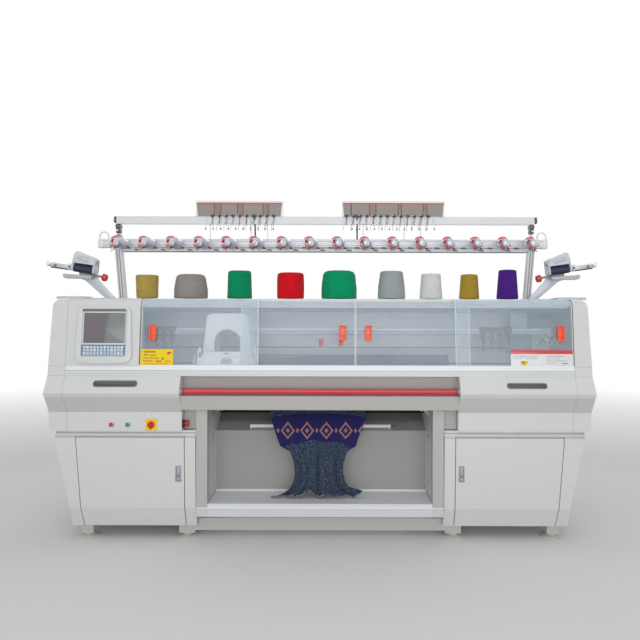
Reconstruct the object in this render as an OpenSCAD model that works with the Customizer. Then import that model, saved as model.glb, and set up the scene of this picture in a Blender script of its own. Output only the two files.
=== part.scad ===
// Flat knitting machine with two needle beds, a yarn stand and a fabric bin.
// Millimetres. Origin on the floor at the middle of the body, +Z up, +X to the
// right of a person who stands at the front, +Y towards the rear cover.
// Depths are measured from the belly line, the foremost edge of the front.

/* [Body] */
// Length of the body over its end covers
body_w = 2660; // [2560:10:2760]
// Depth of the body from the belly line to the rear cover
body_d = 860; // [820:10:920]
// Width of each end cover
end_cover_w = 88; // [70:2:100]
// Height of the yarn table
table_z = 1200; // [1180:5:1240]
// Height of the top of the window sill
sill_z = 869; // [855:1:880]
// Height of the sill rail
sill_h = 47; // [35:1:55]
// Height of the belly line, where the front stands out most
belly_z = 742; // [730:1:755]
// Height of the top of the control band
band_top_z = 644; // [630:1:655]
// Height of the bottom of the control band
band_bottom_z = 550; // [540:1:560]
// Depth of the control band's face behind the belly line
band_d = 60; // [45:1:75]
// Depth of the sill's face behind the belly line
sill_d = 40; // [30:1:50]
// How far the front leans back between the sill and its bend
front_lean = 28; // [15:1:40]
// Radius of the bend between the front and the table
bend_r = 45; // [30:1:60]
// Radius of the bend between the table and the rear cover
rear_bend_r = 40; // [20:1:60]
// How far the end covers lean inwards at the top
end_lean = 14; // [8:1:20]
// Radius of the end covers' upper shoulders
end_corner_r = 40; // [30:1:46]
// Thickness of the cover sheets
sheet = 3; // [2:0.5:4]
// Half length of the open middle between the belly covers
middle_half = 678; // [660:1:700]

/* [Cabinets] */
// Half width of the bay between the cabinets
bay_half = 612; // [600:1:640]
// Step from the body end to the cabinet's outer top edge
cabinet_step = 27; // [15:1:40]
// How far a cabinet's outer side slopes in down to the kick line
cabinet_taper = 70; // [30:1:90]
// Height of the reveal between control band and door
reveal_h = 28; // [20:1:36]
// Depth of the reveal's face
reveal_d = 78; // [70:1:90]
// Depth of the cabinet's face at its top
face_top_d = 62; // [55:1:68]
// Depth of the cabinet's face at the kick line
kick_d = 75; // [68:1:80]
// Height of the kick line, where the front turns back
kick_z = 168; // [140:1:200]
// Depth of the cabinet's face at its bottom edge
foot_d = 110; // [90:1:115]
// Height of the cabinet's bottom edge
cabinet_bottom_z = 70; // [62:1:80]
// Step from the rear cover to the cabinet's back
cabinet_rear_step = 60; // [40:1:90]
// Depth of the folded frame round the door opening
door_frame_t = 24; // [20:1:30]
// Thickness of a door
door_t = 16; // [12:1:18]
// Gap round a door
door_gap = 4; // [3:0.5:5]
// Width of the face between the bay and the door
door_margin_in = 56; // [45:1:70]
// Width of the face between the door and the cabinet's outer edge, at the top
door_margin_out = 105; // [90:1:130]
// How far the door's outer seam slopes in down to its bottom
door_seam_slope = 28; // [10:1:40]
// Width of a door lock
lock_w = 28; // [20:1:34]
// Height of a door lock
lock_h = 78; // [60:1:90]
// Height of the middle of the door locks
lock_z = 340; // [300:1:380]

/* [Base] */
// Height of the underside of the base beams
beam_z = 36; // [30:1:40]
// Height of the base beams
beam_h = 62; // [50:1:70]
// Depth of each base beam from front to rear
beam_t = 60; // [50:1:70]
// Depth of the front base beam's face
beam_d = 140; // [136:1:150]
// Step from the cabinet's back to the rear base beam
rear_beam_step = 20; // [15:1:30]
// Distance of the outer legs from the middle
leg_out_x = 1172; // [1150:1:1176]
// Distance of the inner legs from the middle
leg_in_x = 669; // [660:1:690]
// Width of a leg
leg_w = 62; // [50:1:66]
// Height of the underside of the legs
leg_z = 22; // [18:1:26]
// Diameter of a foot plate
foot_plate_dia = 98; // [80:1:104]
// Diameter of a foot's neck
foot_neck_dia = 56; // [40:1:60]

/* [Fabric bin] */
// Half width of the bin's inside
bin_half = 555; // [530:1:570]
// Gap between the bin and a cabinet
bin_gap = 3; // [2:0.5:5]
// Depth of the bin's front edge
bin_front_d = 70; // [66:1:76]
// Depth of the bin's back wall
bin_back_d = 282; // [260:1:300]
// Height of the bin's floor
bin_floor_z = 190; // [180:1:210]
// Height of the underside of the bin's front lip
bin_lip_z = 127; // [120:1:140]
// Height of the top of the bin's back wall
bin_back_z = 509; // [495:1:520]
// Depth of the rear edge of the throat
throat_d = 436; // [420:1:450]
// Height of the rear edge of the throat
throat_z = 585; // [570:1:590]
// Length of the lamp
lamp_l = 744; // [600:1:800]
// Diameter of the lamp's tube
lamp_dia = 20; // [16:1:26]

/* [Start bar] */
// Diameter of the start bar
bar_dia = 30; // [26:1:34]
// Height of the start bar's axis
bar_z = 749; // [744:1:754]
// Depth of the start bar's axis
bar_d = 32; // [28:1:36]
// Diameter of the pins at the bar's ends
bar_pin_dia = 12; // [10:1:14]
// Height of the apron's lower edge
apron_bottom_z = 657; // [652:1:664]
// Depth of the slot behind the bar
slot_d = 96; // [90:1:104]

/* [Controls] */
// Diameter of a push button
button_dia = 22; // [18:1:24]
// Outer diameter of a bezel ring
ring_dia = 31; // [28:1:36]
// Height of a bezel ring over the panel
ring_h = 8; // [7:0.5:10]
// Travel of a push button
button_travel = 4; // [3:0.5:4]
// Place of the stop button along the body
stop_x = -1021; // [-1040:1:-1000]
// Place of the start button along the body
start_x = -941; // [-960:1:-920]
// Place of the main switch along the body
main_x = -826; // [-850:1:-800]
// Height of the row of switches
switch_z = 582; // [575:1:590]
// Side of the main switch plate
plate_w = 58; // [50:1:64]
// Diameter of the main switch knob
knob_dia = 34; // [28:1:40]
// Diameter of the emergency stop's head
estop_dia = 38; // [32:1:42]
// Travel of the emergency stop
estop_travel = 6; // [4:0.5:7]
// Depth of the emergency stop's axis
estop_d = 85; // [84:1:86]

/* [Console] */
// Distance of the console housing's inner end from the middle
console_in_x = 885; // [870:1:900]
// Middle of the console along the body
console_x = -1056; // [-1064:1:-1048]
// Width of the console's bezel
bezel_w = 276; // [250:1:290]
// Height of the console's bezel along the slope
bezel_h = 276; // [260:1:280]
// Height of the bezel's lower edge
bezel_z = 884; // [880:1:890]
// Thickness of the bezel
bezel_t = 16; // [12:1:20]
// Width of the screen
screen_w = 204; // [180:1:216]
// Height of the screen
screen_h = 150; // [140:1:156]
// Height of the keypad
keypad_h = 48; // [40:1:52]
// Gap between the keypad and the screen
keypad_gap = 12; // [8:1:16]
// Height of the bezel below the keypad
bezel_chin = 36; // [30:1:42]

/* [Windows] */
// Thickness of a window
window_t = 4; // [3:0.5:5]
// Width of each window
window_w = 577; // [565:1:585]
// Width of the two middle windows
inner_window_w = 563; // [552:1:572]
// Gap between the windows of the two tracks
track_gap = 4; // [3:0.5:6]
// Free height between the sill's tracks and a window
window_lift = 0.7; // [0.6:0.1:1]
// Height of the ribs of the tracks
rib_h = 6; // [4:0.5:8]
// Width of a handle
handle_w = 33; // [28:1:38]
// Height of a handle
handle_h = 74; // [60:1:80]
// Height of the middle of the handles
handle_z = 1030; // [1010:1:1050]
// How far a handle stands out
handle_out = 16; // [12:1:20]
// Place of the first window's left edge
window_left_x = -880; // [-882:1:-876]
// Place of the line where the middle windows meet
window_mid_x = 173; // [166:1:181]

/* [Needle beds] */
// Length of the needle beds
bed_l = 1310; // [1250:10:1360]
// Depth of the plane where the beds meet
mouth_d = 220; // [214:1:226]
// Height of the beds' upper edge
mouth_z = 915; // [910:1:920]
// Width of the gap between the beds
mouth_gap = 12; // [10:1:16]
// Width of a bed along its slope
bed_slope_l = 115; // [105:1:120]
// Thickness of a bed
bed_t = 20; // [18:1:26]
// Distance between needle slots
slot_pitch = 10; // [8:0.5:14]
// Width of a needle slot
slot_w = 4; // [3:0.5:5]
// Depth of a needle slot
slot_depth = 5; // [4:0.5:8]
// Height of the underside of the bed beams
bed_beam_z = 700; // [690:1:710]
// Height of the bed beams
bed_beam_h = 80; // [70:1:84]
// Half length of the bed beams
bed_beam_half = 1180; // [1140:10:1200]
// Width of a bed beam from front to rear
bed_beam_w = 98; // [94:1:104]
// Half width of the throat between the bed beams
throat_half = 14; // [12:1:18]
// Length of the carriage rails
rail_l = 1800; // [1760:10:1860]
// Diameter of a carriage rail's head
rail_dia = 20; // [16:1:22]
// Diameter of the take-down roller
roller_dia = 60; // [50:1:64]

/* [Carriage] */
// Place of the carriage's middle along the body
carriage_x = -467; // [-480:1:-455]
// Width of the carriage base at its bottom
base_w = 304; // [290:1:320]
// How much narrower the carriage base is at its top, each side
base_taper = 12; // [6:1:18]
// Running gap between the carriage and the beds
run_gap = 2; // [1.5:0.5:3]
// Height of the carriage base's step
step_z = 908; // [900:1:914]
// Width of the arch at its feet
arch_foot_w = 254; // [240:1:266]
// Width of the arch at its top
arch_top_w = 206; // [186:1:224]
// Height of the top of the arch
arch_z = 1129; // [1115:1:1140]
// Width of the arch's opening
arch_open_w = 128; // [110:1:136]
// Height of the crown of the opening
arch_crown_z = 1044; // [1030:1:1054]
// Height of the crown of the tunnel for the yarn rail
tunnel_z = 1080; // [1074:1:1086]
// Width of the tunnel for the yarn rail
tunnel_w = 80; // [72:1:88]
// Width of the arch from front to rear
arch_d = 190; // [180:1:200]

/* [Yarn rail] */
// Height of the middle of the yarn rail
yarn_rail_z = 1032; // [1026:1:1038]
// Height of the yarn rail
yarn_rail_h = 32; // [28:1:36]
// Thickness of the yarn rail
yarn_rail_t = 12; // [10:1:14]
// Left end of the yarn rail
yarn_rail_left = -960; // [-980:5:-940]
// Right end of the yarn rail
yarn_rail_right = 1141; // [1120:1:1160]
// Distance between yarn carriers
carrier_pitch = 42; // [38:1:50]
// Place of the left group of yarn carriers
left_carriers_x = -832; // [-836:1:-822]
// Place of the right group of yarn carriers
right_carriers_x = 900; // [880:1:914]

/* [Drive] */
// Radius of the drive pulleys
pulley_r = 40; // [34:1:46]
// Width of the drive belt
belt_w = 25; // [20:1:30]
// Thickness of the drive belt
belt_t = 4; // [3:0.5:5]
// Gap between the carriage and the drive belt
belt_gap = 14; // [10:1:20]
// Height of the pulleys' axes
pulley_z = 900; // [890:1:910]
// Place of the drive pulley along the body
drive_x = -1060; // [-1080:5:-1040]
// Place of the idler pulley along the body
idler_x = 1165; // [1150:5:1180]
// Side of the drive motor
motor_w = 100; // [90:1:110]
// Length of the drive motor
motor_l = 150; // [120:1:180]

/* [Inner guard] */
// Depth of the guard that hangs from the table
guard_d = 440; // [428:1:470]
// Height of the guard's lower edge
guard_low_z = 826; // [800:1:840]
// Thickness of the guard
guard_t = 2; // [1.5:0.5:3]

/* [Yarn stand] */
// Depth of the posts' feet
post_d = 420; // [400:1:440]
// Angle by which the posts lean forward
post_lean = 14; // [10:1:18]
// Width of a post
post_w = 34; // [28:1:40]
// Half of the distance between the posts
post_half = 1109; // [1090:1:1130]
// Shift of the stand to the right
stand_shift = 17; // [0:1:25]
// Height of the underside of the feeder beam above the table
feeder_beam_rise = 275; // [255:1:295]
// Height of the feeder beam
feeder_beam_h = 48; // [40:1:56]
// Length of the feeder beam
feeder_beam_l = 2405; // [2380:5:2430]
// Depth of the feeder beam from front to rear
feeder_beam_t = 42; // [36:1:48]
// Height of the fittings that carry the top rail
fitting_h = 81; // [60:1:95]
// Height of the top rail
top_rail_h = 40; // [30:1:46]
// Distance between the tension units
unit_pitch = 142; // [138:1:148]
// Height of a guide plate
guide_h = 82; // [70:1:90]
// Left guide plate's length
left_guide_l = 464; // [440:1:480]
// Right guide plate's length
right_guide_l = 548; // [520:1:560]
// Middle of the left guide plate
left_guide_x = -440; // [-460:1:-420]
// Middle of the right guide plate
right_guide_x = 382; // [360:1:400]
// Distance between the guide hooks
hook_pitch = 40; // [34:1:50]

/* [Side feeders] */
// Distance of the feeders' middle from the middle of the body
feeder_x = 1272; // [1262:1:1282]
// Height of the feed roller above the table
feeder_rise = 161; // [150:1:175]
// Depth of the feeders
feeder_d = 340; // [330:1:342]
// Diameter of a feed roller
feed_roller_dia = 44; // [38:1:50]
// Length of a feed roller
feed_roller_l = 104; // [96:1:108]
// Angle by which the feed rollers tilt
feeder_tilt = 8; // [4:1:12]
// Length of the arm at the outer end of a feeder
feeder_arm_l = 149; // [135:1:155]

/* [Hidden] */

$fn = 48;
eps = 0.01;
shaft_gap = 0.05;
soft_gap = 0.3;
seat_gap = 0.1;
white = [0.89, 0.90, 0.90];
shade = [0.76, 0.76, 0.75];
steel = [0.62, 0.64, 0.67];
dark = [0.16, 0.17, 0.19];
orange = [1.0, 0.36, 0.12];
red = [0.86, 0.16, 0.20];
clear = [0.72, 0.80, 0.86, 0.4];

end_x = body_w / 2;
bay_x = end_x - end_cover_w;
lean_angle = atan(front_lean / (bend_z() - sill_z));
bed_front_d = mouth_d - throat_half - bed_beam_w;

// A depth behind the belly line as a Y coordinate.
function y_of(d) = d - body_d / 2;
function bend_z() = table_z - bend_r;
// Depth of the leaning front at a height, the lean starting at the sill.
function lean_d(z) = sill_d + 4 + front_lean * (z - sill_z) / (bend_z() - sill_z);
function unit(v) = v / norm(v);
function left_of(v) = [-v[1], v[0]];
function arc(c, r, from, to, steps) =
    [for (i = [0:steps]) let (a = from + (to - from) * i / steps) [c[0] + r * cos(a), c[1] + r * sin(a)]];
// The i-th corner of path p, moved to its left by t on a mitre.
function mitred(p, i, t) =
    let (last = len(p) - 1,
        a = left_of(unit(i == 0 ? p[1] - p[0] : p[i] - p[i - 1])),
        b = left_of(unit(i == last ? p[last] - p[last - 1] : p[i + 1] - p[i])))
    p[i] + (a + b) * t / (1 + a * b);
// Outline of a folded sheet of thickness t on the left of path p.
function folded(p, t) = concat(p, [for (i = [len(p) - 1:-1:0]) mitred(p, i, t)]);

// Extrudes a (depth, height) outline along the body from x0 to x1.
module along_x(x0, x1) {
    translate([x0, -body_d / 2, 0])
        rotate([90, 0, 90])
            linear_extrude(x1 - x0) children();
}

// Extrudes an (x, height) outline from depth d0 to depth d1.
module along_d(d0, d1) {
    translate([0, y_of(d1), 0])
        rotate([90, 0, 0])
            linear_extrude(d1 - d0) children();
}

// A box from two corners given as (x, depth, height).
module block(low, high) {
    translate([low[0], y_of(low[1]), low[2]])
        cube(high - low);
}

// Puts children on the leaning front: local x along the body, local y up the
// slope from height z, local z out of the front by out.
module on_front(x, z, out = 0) {
    translate([x, y_of(lean_d(z)), z])
        rotate([90 - lean_angle, 0, 0])
            translate([0, 0, out]) children();
}

// The base: two long beams, cross members and legs.
rear_beam_d = body_d - cabinet_rear_step - rear_beam_step - beam_t;
leg_places = [-leg_out_x, -leg_in_x, leg_in_x, leg_out_x];
inner_leg_extra = 9;
side_beam_h = 34;
module base_frame() {
    beam_half = leg_out_x + leg_w / 2;
    inner_half = leg_in_x + leg_w / 2 + inner_leg_extra;
    top = beam_z + beam_h;
    color(white) {
        for (d = [beam_d, rear_beam_d]) {
            block([-beam_half, d, top - side_beam_h], [beam_half, d + beam_t, top]);
            block([-inner_half, d, beam_z], [inner_half, d + beam_t, top - 1]);
            for (x = leg_places) {
                half = leg_w / 2 + (abs(x) == leg_in_x ? inner_leg_extra : 0);
                block([x - half, d, leg_z], [x + half, d + beam_t, top - 1]);
            }
        }
        for (x = leg_places)
            block([x - leg_w / 2, beam_d + beam_t - 1, top - side_beam_h], [x + leg_w / 2, rear_beam_d + 1, top]);
    }
}

module levelling_foot() {
    plate_h = 8;
    rotate_extrude()
        polygon([[0, 0], [foot_plate_dia / 2 - 2, 0], [foot_plate_dia / 2, 2], [foot_plate_dia / 2, plate_h],
            [foot_neck_dia / 2, plate_h + 6], [foot_neck_dia / 2, leg_z], [0, leg_z]]);
}

module levelling_feet() {
    color(white)
        for (x = leg_places, d = [beam_d, rear_beam_d])
            translate([x, y_of(d + beam_t / 2), 0]) levelling_foot();
}

// Cabinets. Outlines are for the right-hand cabinet; the left is its mirror.
cabinet_top_x = end_x - cabinet_step;
cabinet_kick_x = cabinet_top_x - cabinet_taper;
cabinet_back_d = body_d - cabinet_rear_step;
door_top_z = band_bottom_z - reveal_h;
floor_z = beam_z + beam_h;
door_in_x = bay_half + door_margin_in;
door_out_x = cabinet_top_x - door_margin_out;

module cabinet_front_outline(t, bottom) {
    polygon([[bay_half + t, bottom], [cabinet_kick_x - t, bottom], [cabinet_kick_x - t, kick_z],
        [cabinet_top_x - t, door_top_z], [cabinet_top_x - t, band_bottom_z - t], [bay_half + t, band_bottom_z - t]]);
}

module cabinet_side_outline(t) {
    polygon([[foot_d + t, cabinet_bottom_z], [kick_d + t, kick_z], [face_top_d + t, door_top_z],
        [reveal_d + t, door_top_z], [reveal_d + t, band_bottom_z], [cabinet_back_d, band_bottom_z],
        [cabinet_back_d, cabinet_bottom_z]]);
}

// The door's outline from height z0 up, grown by g on every side.
module door_outline(g, z0) {
    run = door_seam_slope * (door_top_z - z0) / (door_top_z - cabinet_bottom_z);
    polygon([[door_in_x - g, z0], [door_out_x - run + g, z0], [door_out_x + g, door_top_z - door_gap + g],
        [door_in_x - g, door_top_z - door_gap + g]]);
}

// Depth of the cabinet's face at a height above the kick line.
function face_d(z) = face_top_d + (kick_d - face_top_d) * (door_top_z - z) / (door_top_z - kick_z);
door_face = [[foot_d, cabinet_bottom_z], [kick_d, kick_z], [face_top_d, door_top_z]];
door_face_long = [door_face[0] + 12 * unit(door_face[0] - door_face[1]), door_face[1],
    door_face[2] + 12 * unit(door_face[2] - door_face[1])];
stop_w = 12;
hinge_block_l = 40;

module cabinet() {
    inner_front_d = reveal_d + sheet;
    difference() {
        intersection() {
            along_d(face_top_d, cabinet_back_d) cabinet_front_outline(0, cabinet_bottom_z);
            along_x(bay_half, cabinet_top_x) cabinet_side_outline(0);
        }
        // room inside, above the floor sheet
        intersection() {
            along_d(face_top_d, cabinet_back_d - sheet) cabinet_front_outline(sheet, floor_z + sheet);
            along_x(bay_half, cabinet_top_x) cabinet_side_outline(door_frame_t);
        }
        // room under the floor sheet, open towards the bay
        block([bay_half - 1, foot_d + door_frame_t, cabinet_bottom_z - 1],
            [cabinet_kick_x - sheet, cabinet_back_d - sheet, floor_z]);
        // rebate that the door closes into, open at the bottom
        intersection() {
            along_x(bay_half, cabinet_top_x) polygon(folded(door_face_long, -door_t - soft_gap));
            along_d(0, body_d) door_outline(door_gap, cabinet_bottom_z - door_gap);
        }
        // opening inside the rebate
        along_d(0, foot_d + door_frame_t + eps) door_outline(-stop_w, floor_z + sheet);
    }
    // hinge blocks behind the door's outer edge
    for (z = [kick_z + 40, door_top_z - 80]) {
        back = face_d(z) + door_t + 1;
        right = door_out_x - door_seam_slope * (door_top_z - z) / (door_top_z - cabinet_bottom_z);
        block([right - stop_w - hinge_block_l, back, z], [right - stop_w + 4, back + 20, z + 30]);
        block([right - stop_w - 10, back + 19, z], [cabinet_kick_x - sheet + 1, back + 22, z + 30]);
    }
}

module left_cabinet() {
    color(white) mirror([1, 0, 0]) cabinet();
}

module right_cabinet() {
    color(white) cabinet();
}

// A door is a folded sheet that follows the cabinet's face and its kick.
module cabinet_door() {
    difference() {
        intersection() {
            along_x(door_in_x, door_out_x) polygon(folded(door_face_long, -door_t));
            along_d(0, body_d) door_outline(0, cabinet_bottom_z);
        }
        at_lock()
            translate([-lock_w / 2, -lock_h / 2, -lock_sink]) cube([lock_w, lock_h, lock_sink + 5]);
    }
}

lock_x = door_in_x + 14 + lock_w / 2;
lock_sink = 9;
module at_lock() {
    tilt = atan((kick_d - face_top_d) / (door_top_z - kick_z));
    translate([lock_x, y_of(face_d(lock_z)), lock_z])
        rotate([90 - tilt, 0, 0]) children();
}

module door_lock() {
    w = lock_w - 2 * seat_gap;
    h = lock_h - 2 * seat_gap;
    at_lock()
        translate([0, 0, seat_gap]) {
            difference() {
                translate([-w / 2, -h / 2, -lock_sink])
                    cube([w, h, lock_sink + 1]);
                translate([-w / 2 + 3, -h / 2 + 22, -lock_sink + 3])
                    cube([w - 6, h - 25, lock_sink]);
                translate([0, -h / 2 + 11, -2])
                    cylinder(d = 8, h = 5);
            }
            // paddle in its dish
            translate([-w / 2 + 6, -h / 2 + 30, -lock_sink + 3 - eps])
                cube([w - 12, h - 36, 4]);
        }
}

module left_door() {
    color(white) mirror([1, 0, 0]) cabinet_door();
}

module right_door() {
    color(white) cabinet_door();
}

module left_door_lock() {
    color(steel) mirror([1, 0, 0]) door_lock();
}

module right_door_lock() {
    color(steel) door_lock();
}

// The bin: folded trough between two sides that stand on the front base beam.
bin_out_x = bay_half - bin_gap;
bin_side_top_z = apron_bottom_z - 5;
module fabric_bin() {
    trough = [[bin_front_d + 22, bin_lip_z], [bin_front_d, bin_lip_z], [bin_front_d, bin_floor_z - 6],
        [bin_front_d + 6, bin_floor_z], [bin_back_d, bin_floor_z], [bin_back_d, bin_back_z], [throat_d, throat_z]];
    // the upper rear corner is cut back round the take-down roller
    side = [[beam_d, floor_z], [bin_back_d, floor_z], [bin_back_d + sheet, bin_back_z - 30],
        [throat_d + sheet, throat_z - 4], [throat_d + sheet, throat_z + 10], [bin_front_d + 120, throat_z + 10],
        [bin_front_d + 120, bin_side_top_z], [bin_front_d, bin_side_top_z], [bin_front_d, bin_lip_z],
        [beam_d, bin_lip_z]];
    color(white) {
        along_x(-bin_half, bin_half) polygon(folded(trough, -sheet));
        for (s = [-1, 1]) {
            along_x(s > 0 ? bin_half : -bin_half - sheet, s > 0 ? bin_half + sheet : -bin_half)
                polygon(side);
            // face of the side post
            block([s > 0 ? bin_half : -bin_out_x, bin_front_d, bin_lip_z],
                [s > 0 ? bin_out_x : -bin_half, bin_front_d + sheet, bin_side_top_z]);
            block([s > 0 ? bin_out_x - sheet : -bin_out_x, bin_front_d, bin_lip_z],
                [s > 0 ? bin_out_x : -bin_out_x + sheet, bin_front_d + 60, bin_side_top_z]);
            // filler between the post and the belly cover
            block([s > 0 ? bin_out_x - sheet : 1 - middle_half, bed_front_d, band_bottom_z + 3],
                [s > 0 ? middle_half - 1 : sheet - bin_out_x, bed_front_d + sheet / 2, bin_side_top_z]);
        }
    }
}

// The lamp lies on the sloping throat of the bin.
module bin_lamp() {
    slope = atan((throat_z - bin_back_z) / (throat_d - bin_back_d));
    base_t = 5;
    cap_l = 22;
    color([0.93, 0.94, 0.95])
        translate([-4, y_of(bin_back_d), bin_back_z])
            rotate([slope, 0, 0])
                translate([0, 24, 0]) {
                    translate([-lamp_l / 2, -9, 0]) cube([lamp_l, 18, base_t]);
                    translate([-lamp_l / 2, 0, base_t + lamp_dia / 2 - 1])
                        rotate([0, 90, 0]) cylinder(d = lamp_dia, h = lamp_l);
                    for (s = [0, 1])
                        translate([-lamp_l / 2 + s * (lamp_l - cap_l), -lamp_dia / 2 - 2, 0])
                            cube([cap_l, lamp_dia + 4, base_t + lamp_dia + 1]);
                }
}

// The apron closes the slot behind the start bar and carries the bar's lugs.
lug_t = 7;
lug_gap = 1;
bar_half = middle_half - lug_t - lug_gap;
module front_apron() {
    apron = [[slot_d, sill_z - sill_h], [slot_d, bar_z - bar_dia / 2 - 3], [bar_d - 1, bar_z - bar_dia / 2 - 7],
        [bar_d + 12, apron_bottom_z], [slot_d + 14, apron_bottom_z]];
    color(white) {
        along_x(-middle_half, middle_half) polygon(folded(apron, sheet));
    }
    color(steel)
        for (s = [-1, 1])
            difference() {
                along_x(s > 0 ? middle_half - lug_t : -middle_half, s > 0 ? middle_half : -middle_half + lug_t) {
                    translate([bar_d, bar_z]) circle(bar_pin_dia);
                    translate([bar_d, bar_z - 8]) square([slot_d - sheet - bar_d, 16]);
                }
                translate([s * (middle_half - lug_t - 1), y_of(bar_d), bar_z])
                    rotate([0, s * 90, 0]) cylinder(d = bar_pin_dia + 2 * shaft_gap, h = lug_t + 2);
            }
}

module start_bar() {
    groove = 4;
    color(red)
        translate([0, y_of(bar_d), bar_z]) {
            difference() {
                translate([-bar_half, 0, 0]) rotate([0, 90, 0]) cylinder(d = bar_dia, h = 2 * bar_half);
                translate([-bar_half - 1, -bar_dia / 2 - 1, -groove / 2]) cube([2 * bar_half + 2, 3, groove]);
            }
            for (s = [-1, 1])
                translate([s * (bar_half - 5), 0, 0])
                    rotate([0, s * 90, 0]) cylinder(d = bar_pin_dia, h = 5 + lug_gap + lug_t - 0.5);
        }
}

// Switches on the control band of the left belly cover.
module facing_front(x, d, z) {
    translate([x, y_of(d), z])
        rotate([90, 0, 0]) children();
}

module bezel_ring(bore) {
    rotate_extrude()
        polygon([[bore / 2 + shaft_gap, 0], [ring_dia / 2, 0], [ring_dia / 2, 2], [ring_dia / 2 - 2, ring_h],
            [bore / 2 + shaft_gap, ring_h]]);
}

module push_button() {
    cap_z = button_travel + 0.5;
    cap_h = 8;
    translate([0, 0, cap_z])
        rotate_extrude()
            polygon([[0, 0], [button_dia / 2, 0], [button_dia / 2, cap_h - 2], [button_dia / 2 - 2, cap_h], [0, cap_h]]);
}

module start_button() {
    color([0.10, 0.62, 0.30]) facing_front(start_x, band_d, switch_z) push_button();
}

module stop_button() {
    color(red) facing_front(stop_x, band_d, switch_z) push_button();
}

plate_t = 3;
knob_gap = 0.2;
module main_switch_knob() {
    color(red)
        facing_front(main_x, band_d, switch_z)
            translate([0, 0, plate_t + knob_gap]) {
                cylinder(d = knob_dia, h = 9);
                translate([-5, -knob_dia / 2, 9 - eps]) cube([10, knob_dia, 11]);
            }
}

// The emergency stop stands on the inner side wall of the left belly cover.
estop_face_x = -middle_half;
module facing_middle() {
    translate([estop_face_x, y_of(estop_d), switch_z])
        rotate([0, 90, 0]) children();
}

estop_stem_dia = 16;
estop_collar_h = 10;
module emergency_stop() {
    color(red)
        facing_middle()
            rotate_extrude()
                polygon([[0, estop_travel + 0.5], [estop_stem_dia / 2, estop_travel + 0.5],
                    [estop_stem_dia / 2, estop_collar_h + estop_travel + 1],
                    [estop_dia / 2 - 4, estop_collar_h + estop_travel + 1],
                    [estop_dia / 2, estop_collar_h + estop_travel + 5],
                    [estop_dia / 2 - 5, estop_collar_h + estop_travel + 13],
                    [0, estop_collar_h + estop_travel + 16]]);
}

module switch_bezels() {
    color([0.82, 0.83, 0.85]) {
        facing_front(start_x, band_d, switch_z) bezel_ring(button_dia);
        facing_front(stop_x, band_d, switch_z) bezel_ring(button_dia);
    }
    color([0.95, 0.80, 0.10])
        facing_front(main_x, band_d, switch_z)
            linear_extrude(plate_t) square(plate_w, center = true);
    color(dark)
        facing_middle()
            rotate_extrude()
                polygon([[estop_stem_dia / 2 + shaft_gap, 0], [estop_dia / 2 + 3, 0], [estop_dia / 2 + 3, 3],
                    [estop_dia / 2 - 4, estop_collar_h], [estop_stem_dia / 2 + shaft_gap, estop_collar_h]]);
}

// Outer line of the body's ends, from the bottom front to the bottom rear.
function body_line(t) = concat(
    [[band_d + t, band_bottom_z], [band_d + t, band_top_z + t / 2], [t * 1.2, belly_z], [sill_d + t, sill_z - sill_h - t / 2],
        [sill_d + 4 + t, sill_z]],
    arc([lean_d(bend_z()) + bend_r, table_z - bend_r], bend_r - t, 180, 90, 6),
    arc([body_d - rear_bend_r, table_z - rear_bend_r], rear_bend_r - t, 90, 0, 6),
    [[body_d - t, band_bottom_z]]);

// Front view of an end cover: it leans inwards above the belly line.
module end_outline(t) {
    along_d(-1, body_d + 1)
        polygon(concat([[bay_x - 1, band_bottom_z - 1], [end_x - t, band_bottom_z - 1], [end_x - t, belly_z]],
            arc([end_x - end_lean - end_corner_r, table_z - end_corner_r], end_corner_r - t, 0, 90, 8),
            [[bay_x - 1, table_z - t]]));
}

module end_cover() {
    difference() {
        intersection() {
            along_x(bay_x, end_x) polygon(body_line(0));
            end_outline(0);
        }
        intersection() {
            along_x(bay_x - 1, end_x) polygon(body_line(sheet));
            end_outline(sheet);
        }
    }
    // inner flange that the sill, the table and the rear cover meet
    difference() {
        along_x(bay_x, bay_x + sheet) polygon(body_line(0));
        difference() {
            along_x(bay_x - 1, bay_x + sheet + 1) polygon(body_line(30));
            block([bay_x - 2, 0, band_bottom_z - 1], [bay_x + sheet + 2, body_d, band_bottom_z + 30]);
        }
    }
}

module left_end_cover() {
    color(white) mirror([1, 0, 0]) end_cover();
}

module right_end_cover() {
    color(white) end_cover();
}

// A belly cover: folded front, closed at its ends, open at the back.
belly_back_d = bed_front_d;
module belly_cover() {
    sill_bottom = sill_z - sill_h;
    front = [[belly_back_d, band_bottom_z], [band_d, band_bottom_z], [band_d, band_top_z], [0, belly_z],
        [sill_d, sill_bottom], [belly_back_d, sill_bottom]];
    along_x(middle_half, bay_x) polygon(folded(front, -sheet));
    for (x = [middle_half, bay_x - sheet])
        along_x(x, x + sheet) polygon(front);
}

module left_belly_cover() {
    color(white) mirror([1, 0, 0]) belly_cover();
}

module right_belly_cover() {
    color(white) belly_cover();
}

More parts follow.
